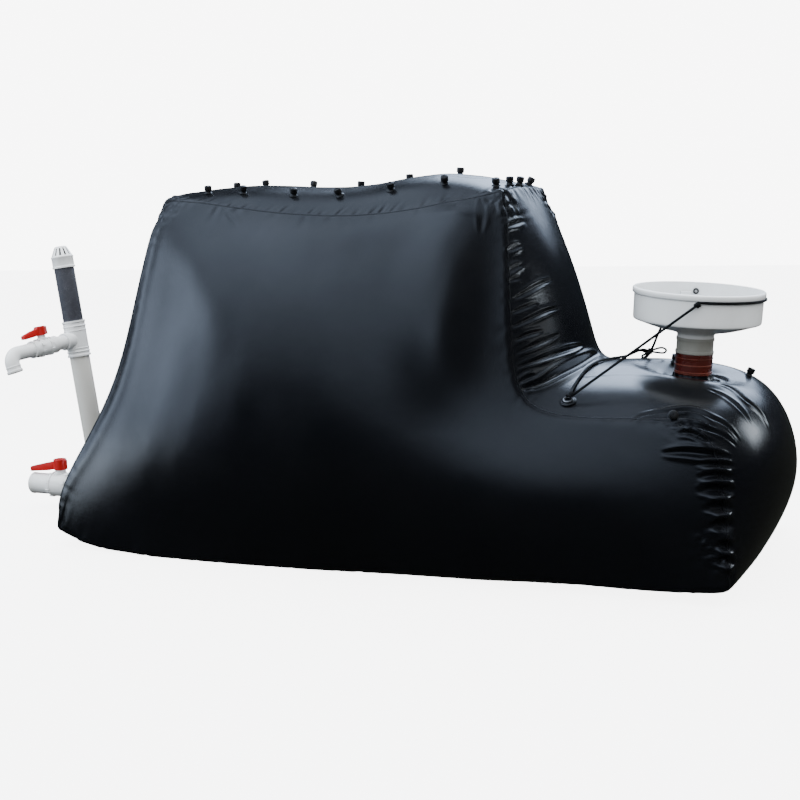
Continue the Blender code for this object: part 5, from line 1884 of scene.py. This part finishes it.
@dataclass
class Studio:
    """A plain pale floor, soft light and the camera at the photograph's angle."""

    place: Point = (1.697, -4.017, 1.131)
    heading: float = 24.2
    pitch: float = 8.7
    roll: float = -1.8
    focal: float = 1350.0
    width: float = 800.0
    sensor: float = 36.0
    fill: float = 3.0
    backdrop: float = 8.0
    glow: float = 11.2
    glows: list[Glow] = field(default_factory=lambda: [
        Glow(0.88, (("up", 0.22, 0.48), ("up", 1.15, 0.75), ("across", 0.33, 0.15), ("deep", 0.55, 0.05))),
        Glow(0.32, (("up", 0.12, 0.28), ("up", 0.80, 0.60), ("across", -0.32, -0.15), ("across", 0.42, 0.20),
                    ("deep", 0.30, 0.0))),
        Glow(1.40, (("up", 0.54, 0.84), ("up", 1.03, 0.86), ("across", -0.05, -0.42), ("deep", 0.45, 0.0))),
        Glow(3.80, (("across", -0.71, -0.86), ("up", -0.02, 0.10), ("up", 0.64, 0.48),
                    ("deep", -0.02, -0.30))),
        Glow(4.60, (("up", 0.205, 0.265), ("up", 0.80, 0.66), ("across", 0.36, 0.22),
                    ("across", -0.44, -0.28), ("deep", 0.45, 0.65))),
        Glow(4.20, (("up", 0.44, 0.58), ("up", 0.78, 0.66), ("across", 0.0, -0.16), ("across", -0.44, -0.28),
                    ("deep", 0.60, 0.70))),
        Glow(0.36, (("deep", -0.1, 0.2), ("deep", 0.62, 0.50), ("up", 0.60, 0.80))),
    ])
    softboxes: list[Softbox] = field(default_factory=lambda: [
        Softbox("sky_left", (-4.5, -2.0, 3.2), (-0.2, 0.0, 0.6), (2.5, 2.5), 150.0, (0.86, 0.93, 1.0)),
        Softbox("sky_top", (0.2, 0.6, 4.5), (0.2, 0.0, 0.8), (4.0, 3.0), 190.0, (0.92, 0.96, 1.0)),
        Softbox("sky_right", (4.2, 2.0, 3.2), (0.6, 0.0, 0.6), (3.0, 2.5), 60.0, (0.92, 0.96, 1.0)),
        Softbox("glint_left", (-2.04, -1.08, 0.30), (-1.0, -0.48, 0.26), (0.42, 0.42), 2.0,
                (0.75, 0.87, 1.0), True),
        Softbox("glint_shoulder", (2.33, 1.175, 1.03), (1.07, -0.26, 0.45), (0.56, 0.56), 5.6,
                (0.8, 0.9, 1.0), True),
        Softbox("glint_roof", (1.17, 1.03, 2.04), (0.95, -0.29, 0.54), (0.60, 0.40), 1.5,
                (0.75, 0.87, 1.0), True),
    ])

    def floor(self) -> None:
        """Lays the floor, pale to the camera and duller in reflections, as grass would be."""
        clear_selection()
        bpy.ops.mesh.primitive_plane_add(size=30.0)
        floor = bpy.context.object
        floor.name = "studio_floor"
        made = bpy.data.materials.new("floor_paint")
        made.use_nodes = True
        sheet = NodeSheet(made.node_tree)
        paint = made.node_tree.nodes["Principled BSDF"]
        sheet.feed(paint, Base_Color=(0.80, 0.80, 0.80, 1.0), Roughness=0.9, Specular_IOR_Level=0.1)
        path = sheet.add("ShaderNodeLightPath").outputs
        glow = sheet.add("ShaderNodeEmission", Color=(1.0, 1.0, 1.0, 1.0), Strength=self.glow)
        pale = sheet.add("ShaderNodeMixShader", i0=0.5, i1=paint.outputs[0], i2=glow.outputs[0])
        dull = sheet.add("ShaderNodeEmission", Color=(0.030, 0.032, 0.028, 1.0), Strength=1.0)
        both = sheet.add("ShaderNodeMixShader", i0=path["Is Camera Ray"], i1=dull.outputs[0],
                         i2=pale.outputs[0])
        sheet.feed(made.node_tree.nodes["Material Output"], i0=both.outputs[0])
        floor.data.materials.append(made)

    def sky(self) -> None:
        """Sets a soft sky that is brighter overhead, and plain white behind the object."""
        world = bpy.data.worlds.new("studio_sky")
        bpy.context.scene.world = world
        world.use_nodes = True
        sheet = NodeSheet(world.node_tree)
        base = world.node_tree.nodes["Background"]
        way = sheet.add("ShaderNodeTexCoord").outputs["Generated"]
        across, deep, up = sheet.add("ShaderNodeSeparateXYZ", i0=way).outputs
        axes = {"across": across, "deep": deep, "up": up}
        total = sheet.mapped(up, 0.0, 0.3, 0.02, 0.06)
        for glow in self.glows:
            level = glow.strength
            for axis, none, full in glow.ramps:
                level = sheet.math("MULTIPLY", sheet.mapped(axes[axis], none, full, 0.0, 1.0), level)
            total = sheet.math("ADD", total, level)
        sheet.feed(base, Color=(0.68, 0.83, 1.08, 1.0), Strength=total)
        strength = sheet.math("MULTIPLY", sheet.mapped(up, -0.1, 0.6, 0.4 * self.fill, self.fill),
                              sheet.mapped(across, -0.9, 0.9, 1.35, 0.80))
        tint = sheet.mix(sheet.mapped(across, -0.9, 0.9, 0.0, 1.0), (0.90, 0.96, 1.0), (1.0, 0.99, 0.96))
        soft = sheet.add("ShaderNodeBackground", Color=tint, Strength=strength)
        path = sheet.add("ShaderNodeLightPath").outputs
        unseen = sheet.add("ShaderNodeMixShader", i0=path["Is Diffuse Ray"], i1=base.outputs[0],
                           i2=soft.outputs[0])
        plain = sheet.add("ShaderNodeBackground", Color=(1.0, 1.0, 1.0, 1.0), Strength=self.backdrop)
        both = sheet.add("ShaderNodeMixShader", i0=path["Is Camera Ray"], i1=unseen.outputs[0],
                         i2=plain.outputs[0])
        sheet.feed(world.node_tree.nodes["World Output"], i0=both.outputs[0])

    def light(self, softbox: Softbox) -> None:
        """Hangs one softbox."""
        lamp = bpy.data.lights.new(softbox.name, "AREA")
        lamp.shape = "RECTANGLE"
        lamp.size, lamp.size_y = softbox.size
        lamp.energy = softbox.power
        lamp.color = softbox.colour
        holder = bpy.data.objects.new(softbox.name, lamp)
        bpy.context.collection.objects.link(holder)
        holder.location = softbox.place
        holder.rotation_mode = "QUATERNION"
        way = Vector(softbox.aim) - Vector(softbox.place)
        holder.rotation_quaternion = way.to_track_quat("-Z", "Y")
        holder.visible_camera = False
        holder.visible_glossy = softbox.mirrored
        holder.visible_diffuse = not softbox.mirrored

    def camera(self) -> None:
        """Stands the camera where the photograph was taken from."""
        heading, pitch, roll = (math.radians(a) for a in (self.heading, self.pitch, self.roll))
        ahead = Vector((-math.sin(heading) * math.cos(pitch), math.cos(heading) * math.cos(pitch),
                        -math.sin(pitch)))
        level = Vector((math.cos(heading), math.sin(heading), 0.0))
        upright = level.cross(ahead)
        right = level * math.cos(roll) + upright * math.sin(roll)
        up = -level * math.sin(roll) + upright * math.cos(roll)
        lens = bpy.data.cameras.new("photo_camera")
        lens.sensor_width = self.sensor
        lens.lens = self.focal / self.width * self.sensor
        camera = bpy.data.objects.new("photo_camera", lens)
        bpy.context.collection.objects.link(camera)
        facing = Matrix((right, up, -ahead)).transposed().to_4x4()
        camera.matrix_world = Matrix.Translation(self.place) @ facing
        bpy.context.scene.camera = camera

    def build(self) -> None:
        """Sets up the studio."""
        self.floor()
        self.sky()
        for softbox in self.softboxes:
            self.light(softbox)
        self.camera()


def main() -> None:
    """Builds every piece in order and reports it."""
    logging.basicConfig(level=logging.INFO, format="%(name)s %(message)s")
    for make in (grain_group, dust_group, grime_group):
        make()
    tank = TankSkin()
    hopper = Hopper()
    tank.build()
    hopper.build()
    GuyLine(tank, hopper).build()
    Pegs(tank).build()
    PipeWork().build()
    Studio().build()


if __name__ == "__main__":
    main()
